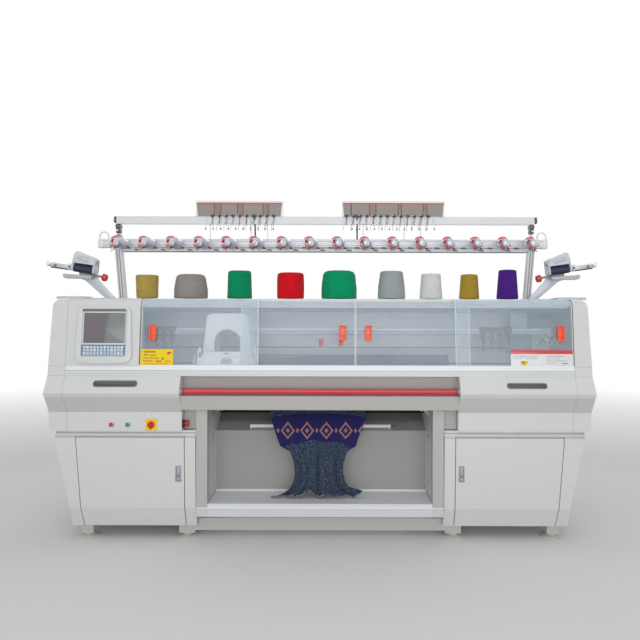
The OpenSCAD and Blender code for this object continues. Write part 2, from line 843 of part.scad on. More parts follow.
// Sill with the two window tracks.
window_out_d = lean_d(sill_z) + 6;
rib_t = 3;
rib_gap = 1;
module window_sill() {
    h = sill_h;
    back = slot_d;
    mid_rib_d = window_out_d + window_t + rib_gap;
    rear_rib_d = window_out_d + 2 * window_t + track_gap + rib_gap;
    color(white) {
        along_x(-bay_x, bay_x)
            difference() {
                polygon([[sill_d, sill_z - h], [sill_d + 4, sill_z], [back, sill_z], [back, sill_z - h]]);
                polygon([[sill_d + sheet, sill_z - h + sheet], [sill_d + 4 + sheet, sill_z - sheet],
                    [back - sheet, sill_z - sheet], [back - sheet, sill_z - h + sheet]]);
            }
        along_x(1 - console_in_x, bay_x) {
            translate([window_out_d - rib_gap - rib_t, sill_z]) square([rib_t, rib_h]);
            translate([mid_rib_d, sill_z]) square([track_gap - 2 * rib_gap, rib_h]);
            translate([rear_rib_d, sill_z]) square([rib_t, rib_h]);
        }
    }
}

// Windows are bent sheets that reach from the sill to the table's edge.
function window_line(inset) =
    let (c = [lean_d(bend_z()) + bend_r, table_z - bend_r], r = bend_r - 6 - inset)
    concat([[lean_d(sill_z) + 6 + inset, sill_z + window_lift]], arc(c, r, 180, 90, 8), [[c[0] + 8, c[1] + r]]);

module window(x0, w, track) {
    along_x(x0, x0 + w)
        polygon(folded(window_line(track * (window_t + track_gap)), -window_t));
}

window_right_x = 1240;
window_x = [window_left_x, window_mid_x - 1 - inner_window_w, window_mid_x + 1, window_right_x - window_w];
module window_1() {
    color(clear) window(window_x[0], window_w, 0);
}

module window_2() {
    color(clear) window(window_x[1], inner_window_w, 1);
}

module window_3() {
    color(clear) window(window_x[2], inner_window_w, 1);
}

module window_4() {
    color(clear) window(window_x[3], window_w, 0);
}

// A handle is a folded cup that lies on the face of its window.
module handle(x, track) {
    face_in = 6 + track * (window_t + track_gap);
    wall = 5;
    color(orange)
        on_front(x - handle_w / 2, handle_z - handle_h / 2, seat_gap - face_in * cos(lean_angle))
            difference() {
                cube([handle_w, handle_h, handle_out + face_in - 6]);
                translate([wall, wall + 3, wall]) cube([handle_w - 2 * wall, handle_h - 2 * wall - 3, handle_out + 20]);
            }
}

handle_1_x = window_x[0] + 44 + handle_w / 2;
handle_2_x = window_x[1] + inner_window_w - 62;
handle_3_x = window_x[2] + 62;
handle_4_x = window_x[3] + window_w - 63;
module handle_1() {
    handle(handle_1_x, 0);
}

module handle_2() {
    handle(handle_2_x, 1);
}

module handle_3() {
    handle(handle_3_x, 1);
}

module handle_4() {
    handle(handle_4_x, 0);
}

// Console: housing in the front, with a leaning bezel, screen and keypad.
module console_housing() {
    foot_z = sill_z + soft_gap;
    line = concat([[lean_d(foot_z), foot_z]],
        arc([lean_d(bend_z()) + bend_r, table_z - bend_r], bend_r, 180, 90, 8), [[table_front_d, table_z]]);
    side = concat(line, [[table_front_d, foot_z + 60], [slot_d, foot_z]]);
    color(white) {
        along_x(-bay_x, -console_in_x) polygon(folded(line, -sheet));
        for (x = [-bay_x, -console_in_x - sheet])
            along_x(x, x + sheet) polygon(side);
    }
}

module console_bezel() {
    r = 26;
    color(white)
        on_front(console_x, bezel_z, seat_gap)
            difference() {
                translate([0, bezel_h / 2, 0])
                    linear_extrude(bezel_t)
                        polygon(concat(
                            arc([bezel_w / 2 - r - 6, bezel_h / 2 - r], r, 0, 90, 6),
                            arc([-bezel_w / 2 + r + 6, bezel_h / 2 - r], r, 90, 180, 6),
                            arc([-bezel_w / 2 + r, -bezel_h / 2 + r], r, 180, 255, 5),
                            [[0, -bezel_h / 2 - 4]],
                            arc([bezel_w / 2 - r, -bezel_h / 2 + r], r, 285, 360, 5)));
                keypad_seat() cube([screen_w, keypad_h, bezel_t]);
                screen_seat() cube([screen_w, screen_h, bezel_t]);
            }
}

seat_t = 8;
module keypad_seat() {
    translate([-screen_w / 2, bezel_chin, seat_t]) children();
}

module screen_seat() {
    translate([-screen_w / 2, bezel_chin + keypad_h + keypad_gap, seat_t]) children();
}

module console_screen() {
    fit = 0.5;
    color([0.42, 0.40, 0.46])
        on_front(console_x, bezel_z, seat_gap)
            screen_seat()
                translate([fit, fit, 0]) cube([screen_w - 2 * fit, screen_h - 2 * fit, 3]);
}

// Keypad: a membrane with rows of raised keys.
module console_keypad() {
    fit = 0.5;
    columns = 12;
    rows = 3;
    pitch_x = (screen_w - 8) / columns;
    pitch_y = (keypad_h - 4) / rows;
    color([0.31, 0.47, 0.63])
        on_front(console_x, bezel_z, seat_gap)
            keypad_seat() {
                translate([fit, fit, 0]) cube([screen_w - 2 * fit, keypad_h - 2 * fit, 3]);
                for (i = [0:columns - 1], j = [0:rows - 1])
                    translate([4 + pitch_x * i + 2, 2 + pitch_y * j + 2, 3 - eps])
                        cube([pitch_x - 4, pitch_y - 4, 2]);
            }
}

// Table: sheet between the end covers, with a ledge and a head beam in front.
guard_right_x = yarn_rail_right - 89;
guard_left_x = drive_x + motor_w / 2 + 6;
table_front_d = lean_d(bend_z()) + bend_r + 10;
ledge_d = table_front_d - 12;
ledge_drop = 6 + 2 * window_t + track_gap;
head_w = 44;
head_h = 46;
module yarn_table() {
    low = table_z - ledge_drop - soft_gap;
    rear = body_d - rear_bend_r - 3 * soft_gap;
    color(white) {
        along_x(-bay_x, bay_x)
            polygon(folded([[table_front_d, low - sheet], [table_front_d, table_z], [rear, table_z]], -sheet));
        along_x(1 - console_in_x, bay_x)
            translate([ledge_d, low - sheet]) square([table_front_d - ledge_d, sheet]);
    }
    // inner guard that hangs from the table behind the carriage
    color(shade)
        block([guard_left_x, guard_d, guard_low_z], [guard_right_x, guard_d + guard_t, table_z - 1]);
    color(shade)
        along_x(-bay_x, bay_x)
            translate([table_front_d, low - sheet - head_h])
                difference() {
                    square([head_w, head_h]);
                    translate([sheet, sheet]) square([head_w - 2 * sheet, head_h - 2 * sheet]);
                }
}

// Rear cover with slats for air, bent over into the table.
module rear_cover() {
    line = concat([[body_d, band_bottom_z]],
        arc([body_d - rear_bend_r, table_z - rear_bend_r], rear_bend_r, 0, 90, 6));
    slat_w = 380;
    slat_pitch = 22;
    color(white)
        difference() {
            along_x(-bay_x, bay_x) polygon(folded(line, sheet));
            for (x = [-620, 620], i = [0:9])
                block([x - slat_w / 2, body_d - sheet - 1, band_bottom_z + 60 + i * slat_pitch],
                    [x + slat_w / 2, body_d + 1, band_bottom_z + 67 + i * slat_pitch]);
        }
}

// Bed frame: stands on the cabinets, the two bed beams and the roller lugs.
rail_d = bed_front_d + rail_dia / 2;
rail_z = mouth_z - bed_slope_l * cos(45) - 2;
stand_x = 740;
stand_w = 80;
roller_d = mouth_d + 3 + soft_gap + roller_dia / 2;
roller_z = bed_beam_z - roller_dia / 2 - 4;
roller_half = bin_out_x + 40;
roller_pin_dia = 16;
roller_lug_t = 12;
module bed_beam() {
    back = mouth_d - throat_half;
    bed_foot = mouth_d - mouth_gap / 2 - (bed_slope_l - bed_t) * cos(45);
    bed_low = mouth_z - (bed_slope_l + bed_t) * cos(45) - seat_gap;
    top = bed_beam_z + bed_beam_h;
    along_x(-bed_beam_half, bed_beam_half)
        translate([bed_front_d, bed_beam_z]) square([bed_beam_w, bed_beam_h]);
    along_x(-bed_l / 2, bed_l / 2)
        polygon([[bed_foot, top - 1], [back, top - 1], [back, bed_low + back - bed_foot], [bed_foot, bed_low]]);
}

module mirror_bed() {
    translate([0, 2 * y_of(mouth_d), 0]) mirror([0, 1, 0]) children();
}

motor_x = drive_x;
pulley_d = 2 * mouth_d - bed_front_d + belt_gap;
motor_d = pulley_d + belt_w + 12;
shaft_dia = 16;
module bed_frame() {
    stand_rear = 2 * mouth_d - bed_front_d;
    color(steel) {
        bed_beam();
        mirror_bed() bed_beam();
        for (s = [-1, 1]) {
            // stand on the cabinet, with an open middle
            difference() {
                block([s * stand_x - stand_w / 2, bed_front_d, band_bottom_z],
                    [s * stand_x + stand_w / 2, stand_rear, bed_beam_z]);
                block([s * stand_x - stand_w / 2 - 1, bed_front_d + 40, band_bottom_z + 30],
                    [s * stand_x + stand_w / 2 + 1, stand_rear - 40, bed_beam_z - 30]);
            }
            // lug of the take-down roller
            difference() {
                block([s > 0 ? roller_half + 1 : -roller_half - 1 - roller_lug_t, roller_d - 18, roller_z - 18],
                    [s > 0 ? roller_half + 1 + roller_lug_t : -roller_half - 1, roller_d + 18, bed_beam_z]);
                translate([s * roller_half, y_of(roller_d), roller_z])
                    rotate([0, s * 90, 0])
                        cylinder(d = roller_pin_dia + 2 * shaft_gap, h = roller_lug_t + 3);
            }
        }
        // seat of the motor and bracket of the idler pulley
        block([motor_x - motor_w / 2, motor_d, band_bottom_z],
            [motor_x + motor_w / 2, motor_d + motor_l, pulley_z - motor_w / 2]);
        difference() {
            block([idler_x - 30, motor_d, band_bottom_z], [idler_x + 30, motor_d + 30, pulley_z + 30]);
            translate([idler_x, y_of(motor_d - 1), pulley_z])
                rotate([-90, 0, 0]) cylinder(d = shaft_dia + 2 * shaft_gap, h = 32);
        }
    }
}

module takedown_roller() {
    color([0.25, 0.26, 0.28])
        translate([-roller_half, y_of(roller_d), roller_z])
            rotate([0, 90, 0]) {
                difference() {
                    cylinder(d = roller_dia, h = 2 * roller_half);
                    for (i = [0:11])
                        rotate([0, 0, i * 30])
                            translate([roller_dia / 2 - 2, -2, -1]) cube([4, 4, 2 * roller_half + 2]);
                }
                translate([0, 0, -roller_lug_t - 0.5])
                    cylinder(d = roller_pin_dia, h = 2 * roller_half + 2 * roller_lug_t + 1);
            }
}

// A needle bed: a thick plate with a comb of needle slots along its slope.
module needle_bed() {
    n = floor((bed_l - 2 * slot_pitch) / slot_pitch);
    x0 = -(n - 1) * slot_pitch / 2;
    comb = concat([[-bed_l / 2, -bed_t], [-bed_l / 2, 0]],
        [for (i = [0:n - 1], k = [0:3]) let (x = x0 + i * slot_pitch)
            [x + (k < 2 ? -slot_w / 2 : slot_w / 2), k == 0 || k == 3 ? 0 : -slot_depth]],
        [[bed_l / 2, 0], [bed_l / 2, -bed_t]]);
    intersection() {
        translate([0, y_of(mouth_d - mouth_gap / 2), mouth_z])
            rotate([135, 0, 0])
                translate([0, 0, -bed_t])
                    linear_extrude(bed_slope_l + bed_t) polygon(comb);
        block([-bed_l, 0, mouth_z - 2 * bed_slope_l], [bed_l, mouth_d - mouth_gap / 2, mouth_z]);
    }
}

module needle_beds() {
    color([0.30, 0.38, 0.48]) {
        needle_bed();
        mirror_bed() needle_bed();
    }
}

// Rails of the carriage, and the rail of the yarn carriers.
module carriage_rail() {
    along_x(-rail_l / 2, rail_l / 2) {
        translate([rail_d, rail_z]) circle(d = rail_dia);
        translate([rail_d - 5, bed_beam_z + bed_beam_h]) square([10, rail_z - bed_beam_z - bed_beam_h]);
        translate([rail_d - rail_dia / 2, bed_beam_z + bed_beam_h]) square([rail_dia, 8]);
    }
}

module guide_rails() {
    h = yarn_rail_h / 2;
    t = yarn_rail_t / 2;
    color(steel) {
        carriage_rail();
        mirror_bed() carriage_rail();
        along_x(yarn_rail_left, yarn_rail_right)
            translate([mouth_d, yarn_rail_z])
                polygon([[-t, -h], [t, -h], [t, -3], [t - 2.5, 0], [t, 3], [t, h], [-t, h], [-t, 3], [-t + 2.5, 0], [-t, -3]]);
    }
}

// Brackets that hang the yarn rail from the table.
bracket_d = mouth_d + 80;
module rail_bracket(x0, x1, low_z, arm_x) {
    table_under = table_z - sheet;
    block([x0, bracket_d, low_z], [x1, bracket_d + 5, table_under]);
    block([arm_x - 20, mouth_d + yarn_rail_t / 2, yarn_rail_z - 14],
        [arm_x + 20, bracket_d, yarn_rail_z + 14]);
}

module rail_brackets() {
    color([0.36, 0.42, 0.50]) {
        rail_bracket(yarn_rail_left - 60, yarn_rail_left + 40, yarn_rail_z - 60, yarn_rail_left + 22);
        rail_bracket(1000, yarn_rail_right + 76, 935, yarn_rail_right - 21);
    }
}

// Carriage base: a cam box over each bed, tied by the bridge.
cam_front_d = bed_front_d - 10;
module cam_box() {
    gap_up = run_gap * sqrt(2);
    bed_edge = mouth_d - mouth_gap / 2;
    rail_top = rail_z + rail_dia / 2 + run_gap;
    low_d = bed_edge - (mouth_z + gap_up - rail_top);
    profile = [[cam_front_d, rail_z - 8], [cam_front_d + 7, rail_z - 8], [cam_front_d + 7, rail_top],
        [low_d, rail_top], [bed_edge - 8, mouth_z - 8 + gap_up], [bed_edge - 8, mouth_z + 10],
        [bed_edge - 26, mouth_z + 10], [bed_edge - 26, step_z], [cam_front_d, step_z]];
    intersection() {
        along_x(carriage_x - base_w / 2, carriage_x + base_w / 2) polygon(profile);
        along_d(0, mouth_d)
            polygon([[carriage_x - base_w / 2, rail_z - 9], [carriage_x + base_w / 2, rail_z - 9],
                [carriage_x + base_w / 2 - base_taper, mouth_z + 11], [carriage_x - base_w / 2 + base_taper, mouth_z + 11]]);
    }
    // ears beside the feet of the arch
    for (s = [-1, 1])
        block([carriage_x + s * (arch_foot_w / 2 + 6) - 5, cam_front_d + 14, step_z - 1],
            [carriage_x + s * (arch_foot_w / 2 + 6) + 5, bed_edge - 30, step_z + 26]);
}

module carriage_base() {
    color(white) {
        cam_box();
        mirror_bed() cam_box();
    }
    // clamp round the lower run of the drive belt
    run_z = pulley_z - pulley_r - soft_gap - belt_t;
    color(steel)
        difference() {
            block([carriage_x - 40, 2 * mouth_d - cam_front_d, run_z - 8],
                [carriage_x + 40, pulley_d + belt_w + 4, run_z + belt_t + 8]);
            block([carriage_x - 41, pulley_d - soft_gap, run_z - soft_gap],
                [carriage_x + 41, pulley_d + belt_w + 5, run_z + belt_t + soft_gap]);
        }
}

// The bridge: an arch in the front view, with a tunnel along the yarn rail.
module carriage_bridge() {
    r = 34;
    top = arch_top_w / 2;
    foot = arch_foot_w / 2;
    color(white)
        translate([carriage_x, 0, 0])
            difference() {
                along_d(mouth_d - arch_d / 2, mouth_d + arch_d / 2)
                    difference() {
                        polygon(concat([[foot, step_z]],
                            arc([top - r + 4, arch_z - r], r, 0, 90, 6),
                            arc([-top + r - 4, arch_z - r], r, 90, 180, 6),
                            [[-foot, step_z]]));
                        translate([0, arch_crown_z - arch_open_w / 2]) circle(d = arch_open_w);
                        translate([-arch_open_w / 2, step_z - 1])
                            square([arch_open_w, arch_crown_z - arch_open_w / 2 - step_z + 1]);
                    }
                block([-foot - 1, mouth_d - tunnel_w / 2, step_z - 1], [foot + 1, mouth_d + tunnel_w / 2, tunnel_z]);
            }
}

// A yarn carrier: a saddle on the yarn rail, a tapering stem and an eye.
module yarn_carrier() {
    gap = soft_gap;
    half_t = yarn_rail_t / 2 + gap;
    top = yarn_rail_z + yarn_rail_h / 2 + gap;
    block_w = carrier_pitch - 4;
    stem_half = block_w / 2 - 4;
    cheek = 9;
    tip_z = mouth_z + 12;
    difference() {
        translate([-block_w / 2, y_of(mouth_d) - half_t - cheek, yarn_rail_z - yarn_rail_h / 2 - 8])
            cube([block_w, 2 * (half_t + cheek), yarn_rail_h + 8 + 10]);
        translate([-block_w / 2 - 1, y_of(mouth_d) - half_t, yarn_rail_z - yarn_rail_h / 2 - gap])
            cube([block_w + 2, 2 * half_t, yarn_rail_h + 2 * gap]);
    }
    // stem
    along_d(mouth_d - 4, mouth_d + 4)
        polygon([[-stem_half, yarn_rail_z - yarn_rail_h / 2 - 2], [stem_half, yarn_rail_z - yarn_rail_h / 2 - 2],
            [stem_half - 4, tip_z + 44], [5, tip_z + 14], [4, tip_z], [-4, tip_z], [-5, tip_z + 14],
            [4 - stem_half, tip_z + 44]]);
}

module left_yarn_carriers() {
    color(dark)
        for (i = [0:3])
            translate([left_carriers_x + (i - 1.5) * carrier_pitch, 0, 0]) yarn_carrier();
}

module right_yarn_carriers() {
    color(dark)
        for (i = [0:3])
            translate([right_carriers_x + (i - 1.5) * carrier_pitch, 0, 0]) yarn_carrier();
}

// Belt drive of the carriage.
module belt_path(r) {
    translate([drive_x, pulley_z]) circle(r);
    translate([idler_x, pulley_z]) circle(r);
    translate([drive_x, pulley_z - r]) square([idler_x - drive_x, 2 * r]);
}

module drive_belt() {
    color(dark)
        along_d(pulley_d, pulley_d + belt_w)
            difference() {
                belt_path(pulley_r + soft_gap + belt_t);
                belt_path(pulley_r + soft_gap);
            }
}

module pulley(x) {
    teeth = 20;
    along_d(pulley_d + 0.5, pulley_d + belt_w - 0.5)
        translate([x, pulley_z])
            difference() {
                circle(pulley_r);
                for (i = [0:teeth - 1])
                    rotate(i * 360 / teeth) translate([pulley_r - 3, -2]) square([4, 4]);
            }
    translate([x, y_of(pulley_d - 3), pulley_z])
        rotate([-90, 0, 0]) cylinder(d = shaft_dia, h = motor_d - pulley_d + 3 + 20);
}

module drive_pulley() {
    color(steel) pulley(drive_x);
}

module idler_pulley() {
    color(steel) pulley(idler_x);
}

module drive_motor() {
    color(dark)
        difference() {
            union() {
                block([motor_x - motor_w / 2, motor_d, pulley_z - motor_w / 2],
                    [motor_x + motor_w / 2, motor_d + 14, pulley_z + motor_w / 2]);
                along_d(motor_d, motor_d + motor_l)
                    translate([motor_x, pulley_z]) {
                        circle(motor_w / 2 - 2);
                        translate([-motor_w / 2 + 8, -motor_w / 2]) square([motor_w - 16, motor_w / 2]);
                    }
            }
            translate([motor_x, y_of(motor_d - 1), pulley_z])
                rotate([-90, 0, 0]) cylinder(d = shaft_dia + 2 * shaft_gap, h = 25);
        }
}

// Yarn stand: leaning posts on the table, fittings and the top rail.
post_places = [stand_shift - post_half, stand_shift + post_half];
feeder_beam_z = table_z + feeder_beam_rise;
stand_top_d = post_d - feeder_beam_rise * tan(post_lean);
top_rail_z = feeder_beam_z + feeder_beam_h + fitting_h;
top_rail_t = 34;
module yarn_stand_frame() {
    foot_t = 6;
    post_t = 40;
    color(white) {
        for (x = post_places) {
            along_x(x - post_w / 2, x + post_w / 2)
                polygon([[post_d - post_t / 2, table_z], [post_d + post_t / 2, table_z],
                    [stand_top_d + post_t / 2, feeder_beam_z], [stand_top_d - post_t / 2, feeder_beam_z]]);
            block([x - post_w / 2 - 14, post_d - post_t / 2 - 10, table_z],
                [x + post_w / 2 + 14, post_d + post_t / 2 + 10, table_z + foot_t]);
        }
        along_x(post_places[0] - 8, post_places[1] + 14)
            translate([stand_top_d - top_rail_t / 2, top_rail_z]) square([top_rail_t, top_rail_h]);
    }
    color(dark)
        for (x = post_places)
            translate([x, y_of(stand_top_d), feeder_beam_z + feeder_beam_h]) {
                cylinder(d = 14, h = fitting_h);
                cylinder(d = 26, h = 8);
                translate([0, 0, fitting_h - 6]) cylinder(d = 26, h = 6);
            }
}

beam_mid_x = 6;
under_rod_dia = 12;
module feeder_beam() {
    r = 10;
    half = feeder_beam_l / 2;
    color(white) {
        along_x(beam_mid_x - half, beam_mid_x + half)
            translate([stand_top_d - feeder_beam_t / 2, feeder_beam_z])
                polygon(concat(arc([feeder_beam_t - r, r], r, -90, 0, 4),
                    arc([feeder_beam_t - r, feeder_beam_h - r], r, 0, 90, 4),
                    arc([r, feeder_beam_h - r], r, 90, 180, 4), arc([r, r], r, 180, 270, 4)));
        // loops at both ends, standing on the beam
        for (s = [-1, 1])
            translate([beam_mid_x + s * (half - 26), y_of(stand_top_d), feeder_beam_z + feeder_beam_h])
                rotate([90, 0, 0])
                    translate([0, 0, -2])
                        linear_extrude(4)
                            difference() {
                                translate([0, 14]) circle(27);
                                translate([0, 14]) circle(21);
                                translate([-40, -40]) square([80, 40]);
                            }
    }
    // thin rod under the beam, hung from clips
    color(dark) {
        translate([post_places[0] + post_w / 2 + 1, y_of(stand_top_d), feeder_beam_z - 17])
            rotate([0, 90, 0])
                cylinder(d = under_rod_dia, h = post_places[1] - post_places[0] - post_w - 2, $fn = 24);
        for (i = [-3:3])
            translate([beam_mid_x + i * 330 - 5, y_of(stand_top_d) - 5, feeder_beam_z - 17])
                cube([10, 10, 17]);
    }
}

// A tension unit: a clamp, a long oval housing that points forward, two discs
// at its front end, a cap on top and a lever.
unit_count = 16;
unit_turn = 8;
unit_l = 136;
unit_t = 52;
unit_shift = 25;
module tension_unit() {
    front = -feeder_beam_t / 2;
    mid = feeder_beam_h / 2;
    out = 86;
    // clamp on the beam's face
    translate([-14, front - 26, mid - 16]) cube([28, 26, 32]);
    translate([0, front - out, mid - 8])
        rotate([0, 0, -unit_turn]) {
            // oval housing
            rotate([90, 0, -90])
                translate([0, 0, -unit_t / 2])
                    linear_extrude(unit_t)
                        polygon([for (i = [0:19]) let (a = i * 18) [unit_l / 2 * cos(a), 27 * sin(a) + 4 * cos(a)]]);
            // discs on their bolt
            translate([-6, -unit_l / 2 + 12, -4])
                rotate([90, 0, 0]) {
                    cylinder(d = 12, h = 26);
                    translate([0, 0, 14]) cylinder(d = 46, h = 4);
                    translate([0, 0, 20]) cylinder(d = 38, h = 4);
                }
            // cap on top and lever at the side
            translate([-12, -34, 18]) cylinder(d = 28, h = 14);
            translate([unit_t / 2 - 6, -10, -16]) cube([28, 14, 10]);
        }
}

module tension_units() {
    color([0.86, 0.87, 0.89])
        for (i = [0:unit_count - 1])
            translate([unit_shift + (i - (unit_count - 1) / 2) * unit_pitch, y_of(stand_top_d), feeder_beam_z])
                tension_unit();
}

// Guide plates on the top rail, with a row of hooks in front of the rail.
module guide_plate(x, l) {
    depth = 56;
    front = stand_top_d - depth / 2;
    rail_top = top_rail_z + top_rail_h;
    color(white) {
        along_x(x - l / 2, x + l / 2)
            polygon(folded([[front + depth, rail_top], [front, rail_top], [front, rail_top + guide_h],
                [front + 24, rail_top + guide_h]], -sheet));
        for (s = [-1, 1])
            block([x + s * (l / 2 - sheet / 2) - sheet / 2, front, rail_top],
                [x + s * (l / 2 - sheet / 2) + sheet / 2, front + depth, rail_top + guide_h]);
    }
    n = floor((l - 80) / hook_pitch);
    color(dark)
        for (i = [0:n])
            translate([x + (i - n / 2) * hook_pitch, y_of(front + 5), 0]) {
                translate([0, 0, rail_top - 66]) cylinder(d = 4, h = 66, $fn = 12);
                translate([0, 0, rail_top - 72]) cylinder(d = 9, h = 9, $fn = 12);
            }
}

module guide_plates() {
    guide_plate(left_guide_x, left_guide_l);
    guide_plate(right_guide_x, right_guide_l);
}

// Side feeders. Drawn for the right; local x runs out along the tilted axis.
feeder_z = table_z + feeder_rise;
feed_shaft_dia = 10;
module at_feeder() {
    translate([feeder_x, y_of(feeder_d), feeder_z])
        rotate([0, -feeder_tilt, 0]) children();
}

module side_feeder() {
    half = feed_roller_l / 2;
    ear_t = 8;
    r = feed_roller_dia / 2;
    color(white) {
        // base plate on the end cover, with its tongue and the sloping arm that carries the feeder
        block([feeder_x - 26, feeder_d - 50, table_z], [feeder_x + 130, feeder_d + 50, table_z + 14]);
        block([feeder_x - 150, feeder_d + 16, table_z], [feeder_x - 25, feeder_d + 44, table_z + 6]);
        along_d(feeder_d + 22, feeder_d + 38)
            polygon([[feeder_x - 150, table_z], [feeder_x - 150, table_z + 12], [feeder_x - 64, feeder_z - 58],
                [feeder_x - 56, feeder_z - 12], [feeder_x + 42, feeder_z - 12], [feeder_x + 36, feeder_z - 50],
                [feeder_x + 6, feeder_z - 62], [feeder_x - 108, table_z]]);
        // tray under the roller
        along_d(feeder_d - 34, feeder_d + 23)
            polygon([[feeder_x - 48, feeder_z - 54], [feeder_x + 92, feeder_z - 52], [feeder_x + 104, feeder_z - 44],
                [feeder_x + 104, feeder_z - 26], [feeder_x - 48, feeder_z - 38]]);
        at_feeder() {
            // hood over and behind the roller
            difference() {
                translate([-half - ear_t, -r - 8, -20])
                    cube([feed_roller_l + 2 * ear_t, 2 * r + 30, 118]);
                translate([-half - 1, -r - 9, -21])
                    cube([feed_roller_l + 2, 2 * r + 14, r + 26]);
                translate([-half - ear_t - 1, -r - 9, 60])
                    rotate([45, 0, 0]) cube([feed_roller_l + 30, 70, 60]);
                translate([-half - ear_t - 1, 0, 0])
                    rotate([0, 90, 0]) cylinder(d = feed_shaft_dia + 2 * shaft_gap, h = feed_roller_l + 2 * ear_t + 2);
                // the hood's top falls towards the machine
                translate([-half - ear_t - 1, -60, 62]) rotate([0, -18, 0]) cube([200, 120, 60]);
            }
            // outer arm with its thick root
            translate([half + ear_t - 1, r - 20, -14]) cube([feeder_arm_l, 18, 24]);
            translate([half + ear_t - 1, r - 26, -18]) cube([30, 30, 36]);
        }
    }
}

module side_feeders() {
    side_feeder();
    mirror([1, 0, 0]) side_feeder();
}

module feed_roller() {
    half = feed_roller_l / 2;
    color(dark)
        at_feeder()
            translate([-half, 0, 0])
                rotate([0, 90, 0]) {
                    difference() {
                        cylinder(d = feed_roller_dia, h = feed_roller_l);
                        for (i = [0:5])
                            rotate([0, 0, 60 * i])
                                translate([feed_roller_dia / 2 - 1.5, -1.5, -1]) cube([3, 3, feed_roller_l + 2]);
                    }
                    translate([0, 0, -7]) cylinder(d = feed_shaft_dia, h = feed_roller_l + 14);
                }
}

module left_feed_roller() {
    mirror([1, 0, 0]) feed_roller();
}

module right_feed_roller() {
    feed_roller();
}

// The knitted piece: flat between the beds, folded and flared in the bin.
fabric_t = 3;
fabric_low_d = 168;
module knitted_fabric() {
    waves = 7;
    steps = 42;
    wide = 260;
    amp = 11;
    function wave_d(x) = fabric_low_d + amp * sin(360 * waves * (x + wide) / (2 * wide));
    wave = [for (i = [0:steps]) let (x = -wide + 2 * wide * i / steps) [x, wave_d(x)]];
    front_z = bin_floor_z + soft_gap;
    color([0.25, 0.33, 0.48]) {
        // web from the mouth down past the take-down roller
        along_x(-250, 230)
            polygon(folded([[mouth_d - 1, mouth_z - 12], [mouth_d - 1, roller_z - 20], [fabric_low_d + 2, 574]], fabric_t));
        intersection() {
            translate([-8, -body_d / 2, 0])
                linear_extrude(700) polygon(folded(wave, fabric_t));
            along_d(fabric_low_d - 40, fabric_low_d + 40)
                polygon([[-252, 588], [-200, 428], [-140, 415], [-126, 330], [-132, 262], [-240, 206], [-236, front_z],
                    [206, front_z], [212, 224], [128, 262], [108, 330], [124, 415], [168, 428], [236, 588]]);
        }
    }
}

// Yarn cones on the table: a tapered core tube with the wound yarn.
cone_d = 400;
module yarn_cone(x, foot_dia, mid_dia, top_dia, h, shoulder) {
    core_r = 13;
    translate([x, y_of(cone_d), table_z])
        difference() {
            rotate_extrude()
                polygon([[0, 0], [core_r + 16, 0], [core_r + 16, 5], [foot_dia / 2 - 5, 5], [foot_dia / 2, 11],
                    [mid_dia / 2, h * 0.4], [top_dia / 2, h - shoulder], [top_dia / 2 - shoulder * 0.35, h - shoulder * 0.3],
                    [top_dia / 2 - shoulder, h], [core_r + 6, h], [core_r + 4, h + 10], [0, h + 10]]);
            translate([0, 0, h - 30]) cylinder(r = core_r, h = 50);
        }
}

module green_cones() {
    color([0.05, 0.56, 0.38]) {
        yarn_cone(-449, 136, 132, 126, 156, 12);
        yarn_cone(94, 196, 194, 180, 157, 26);
    }
}

module pale_cones() {
    color([0.66, 0.63, 0.60]) yarn_cone(-715, 182, 182, 164, 136, 24);
    color([0.62, 0.67, 0.65]) yarn_cone(380, 152, 146, 126, 156, 12);
    color([0.86, 0.87, 0.87]) yarn_cone(596, 126, 116, 106, 142, 8);
}

module bright_cones() {
    color([0.78, 0.63, 0.28]) yarn_cone(-955, 118, 122, 126, 132, 8);
    color([0.88, 0.06, 0.12]) yarn_cone(-171, 148, 150, 146, 146, 14);
    color([0.70, 0.55, 0.16]) yarn_cone(805, 110, 102, 92, 139, 8);
    color([0.30, 0.12, 0.52]) yarn_cone(1014, 118, 108, 96, 164, 8);
}

base_frame();
bed_frame();
levelling_feet();
left_cabinet();
right_cabinet();
left_door();
right_door();
left_door_lock();
right_door_lock();
fabric_bin();
bin_lamp();
front_apron();
start_bar();
start_button();
stop_button();
emergency_stop();
switch_bezels();
main_switch_knob();
left_end_cover();
right_end_cover();
left_belly_cover();
right_belly_cover();
console_housing();
console_bezel();
console_screen();
console_keypad();
window_sill();
window_1();
window_2();
window_3();
window_4();
handle_1();
handle_2();
handle_3();
handle_4();
needle_beds();
guide_rails();
rail_brackets();
carriage_bridge();
carriage_base();
left_yarn_carriers();
right_yarn_carriers();
drive_belt();
drive_motor();
drive_pulley();
idler_pulley();
takedown_roller();
rear_cover();
yarn_table();
yarn_stand_frame();
feeder_beam();
tension_units();
guide_plates();
side_feeders();
left_feed_roller();
right_feed_roller();
knitted_fabric();
green_cones();
pale_cones();
bright_cones();
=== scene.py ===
"""Looks of the flat knitting machine: finishes, detailed pieces, studio and camera."""
import math

import bmesh
import bpy
from bpy.props import FloatProperty, FloatVectorProperty, IntProperty, PointerProperty
from mathutils import Euler, Matrix, Vector, noise


